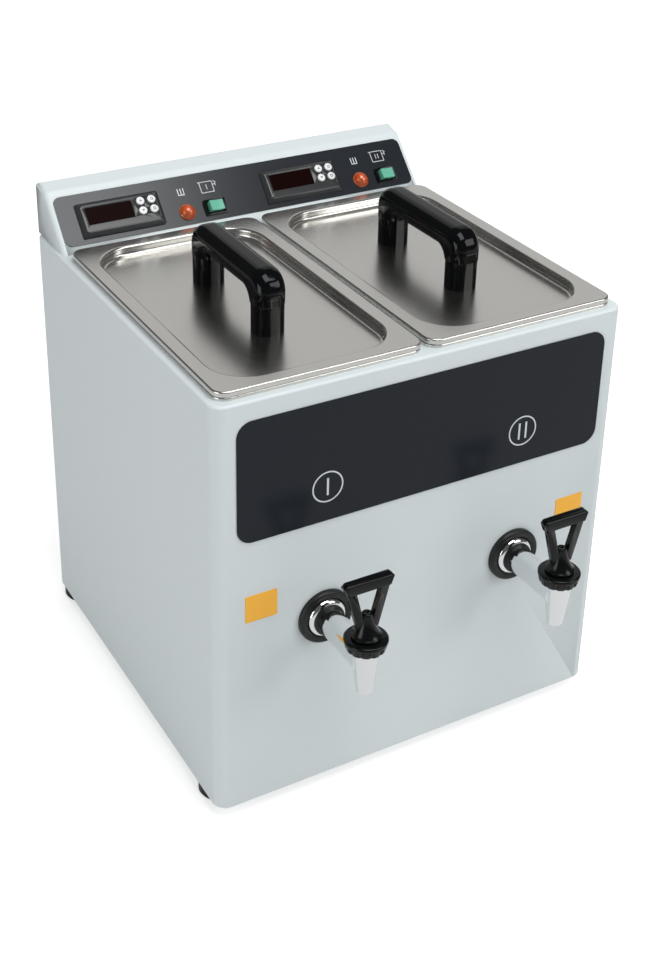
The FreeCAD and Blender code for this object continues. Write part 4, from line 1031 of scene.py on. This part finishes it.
@dataclass
class FrontPanel:
    """Dark front overlay with the tank numbers, and the amber patches."""

    number_rise: float = mm(270.3)
    ring_radius: float = mm(12.4)
    ring_stroke: float = mm(1.1)
    stroke: float = mm(1.6)
    stroke_length: float = mm(13.8)
    stroke_gap: float = mm(6.0)

    def build(self) -> None:
        """Builds the overlay's print and dresses the patches."""
        refined("front_overlay", FRONT_FILM)
        refined("amber_patches", AMBER)
        low, _ = low_high("front_overlay")
        plane = Plane(Vector((0.0, low.y, 0.0)), Vector((1, 0, 0)), Vector((0, 0, 1)), Vector((0, -1, 0)))
        for number in (1, 2):
            place = plane.place(tank_x(number), self.number_rise)
            shape = Shape()
            inner = self.ring_radius - self.ring_stroke
            shape.ring(circle(self.ring_radius, 72), circle(inner, 72), 0.0, PRINT_HEIGHT, place)
            for step in range(number):
                x = (step - (number - 1) / 2) * self.stroke_gap
                half = self.stroke_length / 2
                shape.bar((x, -half), (x, half), self.stroke, PRINT_HEIGHT, place)
            shape.piece(f"front_number_{number}", PRINT, "cabinet")


@dataclass
class Taps:
    """Both taps: wall rosettes, bodies, bonnets, stems and levers."""

    def build(self) -> None:
        """Dresses every tap piece."""
        refined("tap_rubber_rings", RUBBER)
        refined("tap_bells", CHROME)
        refined("tap_seals", RUBBER)
        refined("tap_lock_nuts", BRASS)
        for number in (1, 2):
            refined(f"tap_{number}_body", CHROME)
            refined(f"tap_{number}_bonnet", SATIN_BLACK)
            refined(f"tap_{number}_lever", SATIN_BLACK)
            refined(f"tap_{number}_stem", ZINC)
            refined(f"tap_{number}_lever_pin", ZINC)
            refined(f"tap_{number}_seat_cup", SILICONE)
            self.spring(number)

    def spring(self, number: int) -> None:
        """The closing spring, dressed as a copy with a mesh of its own.

        Args:
            number: The tap's number.
        """
        node, joint = f"tap_{number}_spring", f"tap_{number}_stem_lift"
        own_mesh(refined(node, ZINC))


@dataclass(frozen=True)
class Lamp:
    """One soft square lamp: its place, the length of its side and its power in watts."""

    name: str
    place: tuple[float, float, float]
    size: float
    power: float

    def hang(self, target: Vector) -> None:
        """Adds the lamp, turned to the target.

        Args:
            target: The place that it shines at.
        """
        data = bpy.data.lights.new(self.name, "AREA")
        data.size = self.size
        data.energy = self.power
        lamp = bpy.data.objects.new(self.name, data)
        lamp.location = self.place
        aim = target - Vector(self.place)
        lamp.rotation_euler = aim.to_track_quat("-Z", "Y").to_euler()
        bpy.context.scene.collection.objects.link(lamp)


@dataclass
class Studio:
    """Floor, light and camera."""

    camera_place: tuple[float, float, float] = (-0.5395, -0.91221, 0.83886)
    camera_turn: tuple[float, float, float] = (64.74, -0.745, -28.904)
    sensor: float = 36.0
    lens: float = 56.229
    shift: tuple[float, float] = (0.0205, -0.1926)
    floor_size: float = 12.0
    floor_shade: float = 0.7
    floor_roughness: float = 0.9
    floor_specular: float = 0.1
    floor_glow: float = 0.6
    world_light: float = 0.38
    world_mirrored: float = 0.1
    lamp_target: tuple[float, float, float] = (0.0, 0.0, 0.2)
    lamps: tuple[Lamp, ...] = (
        Lamp("Overhead", (0.1, -0.65, 2.05), 1.2, 23.0),
        Lamp("Front right", (1.5, -1.9, 1.5), 1.2, 18.5),
        Lamp("Left", (-2.0, -0.4, 0.5), 1.0, 10.5),
        Lamp("Back", (1.45, 2.3, 1.65), 3.0, 15.0),
    )

    def build(self) -> None:
        """Builds floor, world, lamps and camera."""
        self.camera()
        self.floor()
        self.world()
        for lamp in self.lamps:
            lamp.hang(Vector(self.lamp_target))
        bpy.context.scene.view_settings.view_transform = "Standard"

    def camera(self) -> None:
        """The camera at the photograph's view."""
        data = bpy.data.cameras.new("Camera")
        data.sensor_width = self.sensor
        data.lens = self.lens
        data.shift_x, data.shift_y = self.shift
        data.clip_end = 50.0
        camera = bpy.data.objects.new("Camera", data)
        camera.location = self.camera_place
        camera.rotation_euler = [math.radians(a) for a in self.camera_turn]
        bpy.context.scene.collection.objects.link(camera)
        bpy.context.scene.camera = camera

    def floor(self) -> None:
        """A plain pale floor that keeps the shadow."""
        shape = Shape()
        half = self.floor_size / 2
        corners = [(-half, -half), (half, -half), (half, half), (-half, half)]
        shape.mesh.faces.new(shape.loop(Vector((x, y, 0.0)) for x, y in corners))
        data = bpy.data.meshes.new("Floor")
        shape.mesh.to_mesh(data)
        shape.mesh.free()
        floor = bpy.data.objects.new("Floor", data)
        bpy.context.scene.collection.objects.link(floor)
        material = bpy.data.materials.new("Pale floor")
        material.use_nodes = True
        bench = Bench(material.node_tree)
        shader = material.node_tree.nodes["Principled BSDF"]
        shader.inputs["Base Color"].default_value = (self.floor_shade,) * 3 + (1.0,)
        shader.inputs["Roughness"].default_value = self.floor_roughness
        shader.inputs["Specular IOR Level"].default_value = self.floor_specular
        rays = bench.add("ShaderNodeLightPath")
        seen = bench.scaled(rays.outputs["Is Camera Ray"], 0.0, self.floor_glow)
        shader.inputs["Emission Color"].default_value = (1.0, 1.0, 1.0, 1.0)
        bench.set(shader, "Emission Strength", seen)
        data.materials.append(material)

    def world(self) -> None:
        """White surroundings: full strength where seen, softer as light and in mirrors."""
        world = bpy.data.worlds.new("Studio")
        world.use_nodes = True
        bpy.context.scene.world = world
        bench = Bench(world.node_tree)
        shader = world.node_tree.nodes["Background"]
        rays = bench.add("ShaderNodeLightPath")
        light = bench.scaled(rays.outputs["Is Glossy Ray"], self.world_light, self.world_mirrored)
        seen = bench.add("ShaderNodeMath", operation="MAXIMUM")
        bench.set(seen, 0, rays.outputs["Is Camera Ray"])
        bench.set(seen, 1, light)
        shader.inputs["Color"].default_value = (1.0, 1.0, 1.0, 1.0)
        bench.set(shader, "Strength", seen.outputs[0])


def main() -> None:
    """Builds the dispenser's looks and the studio."""
    logging.basicConfig(level=logging.INFO, format="%(message)s")
    Effects.build()
    Studio().build()
    for assembly in (Casing(), Tanks(), Inlet(), ControlHead(), FrontPanel(), Taps()):
        log.info("building %s", type(assembly).__name__)
        assembly.build()


if __name__ == "__main__":
    main()
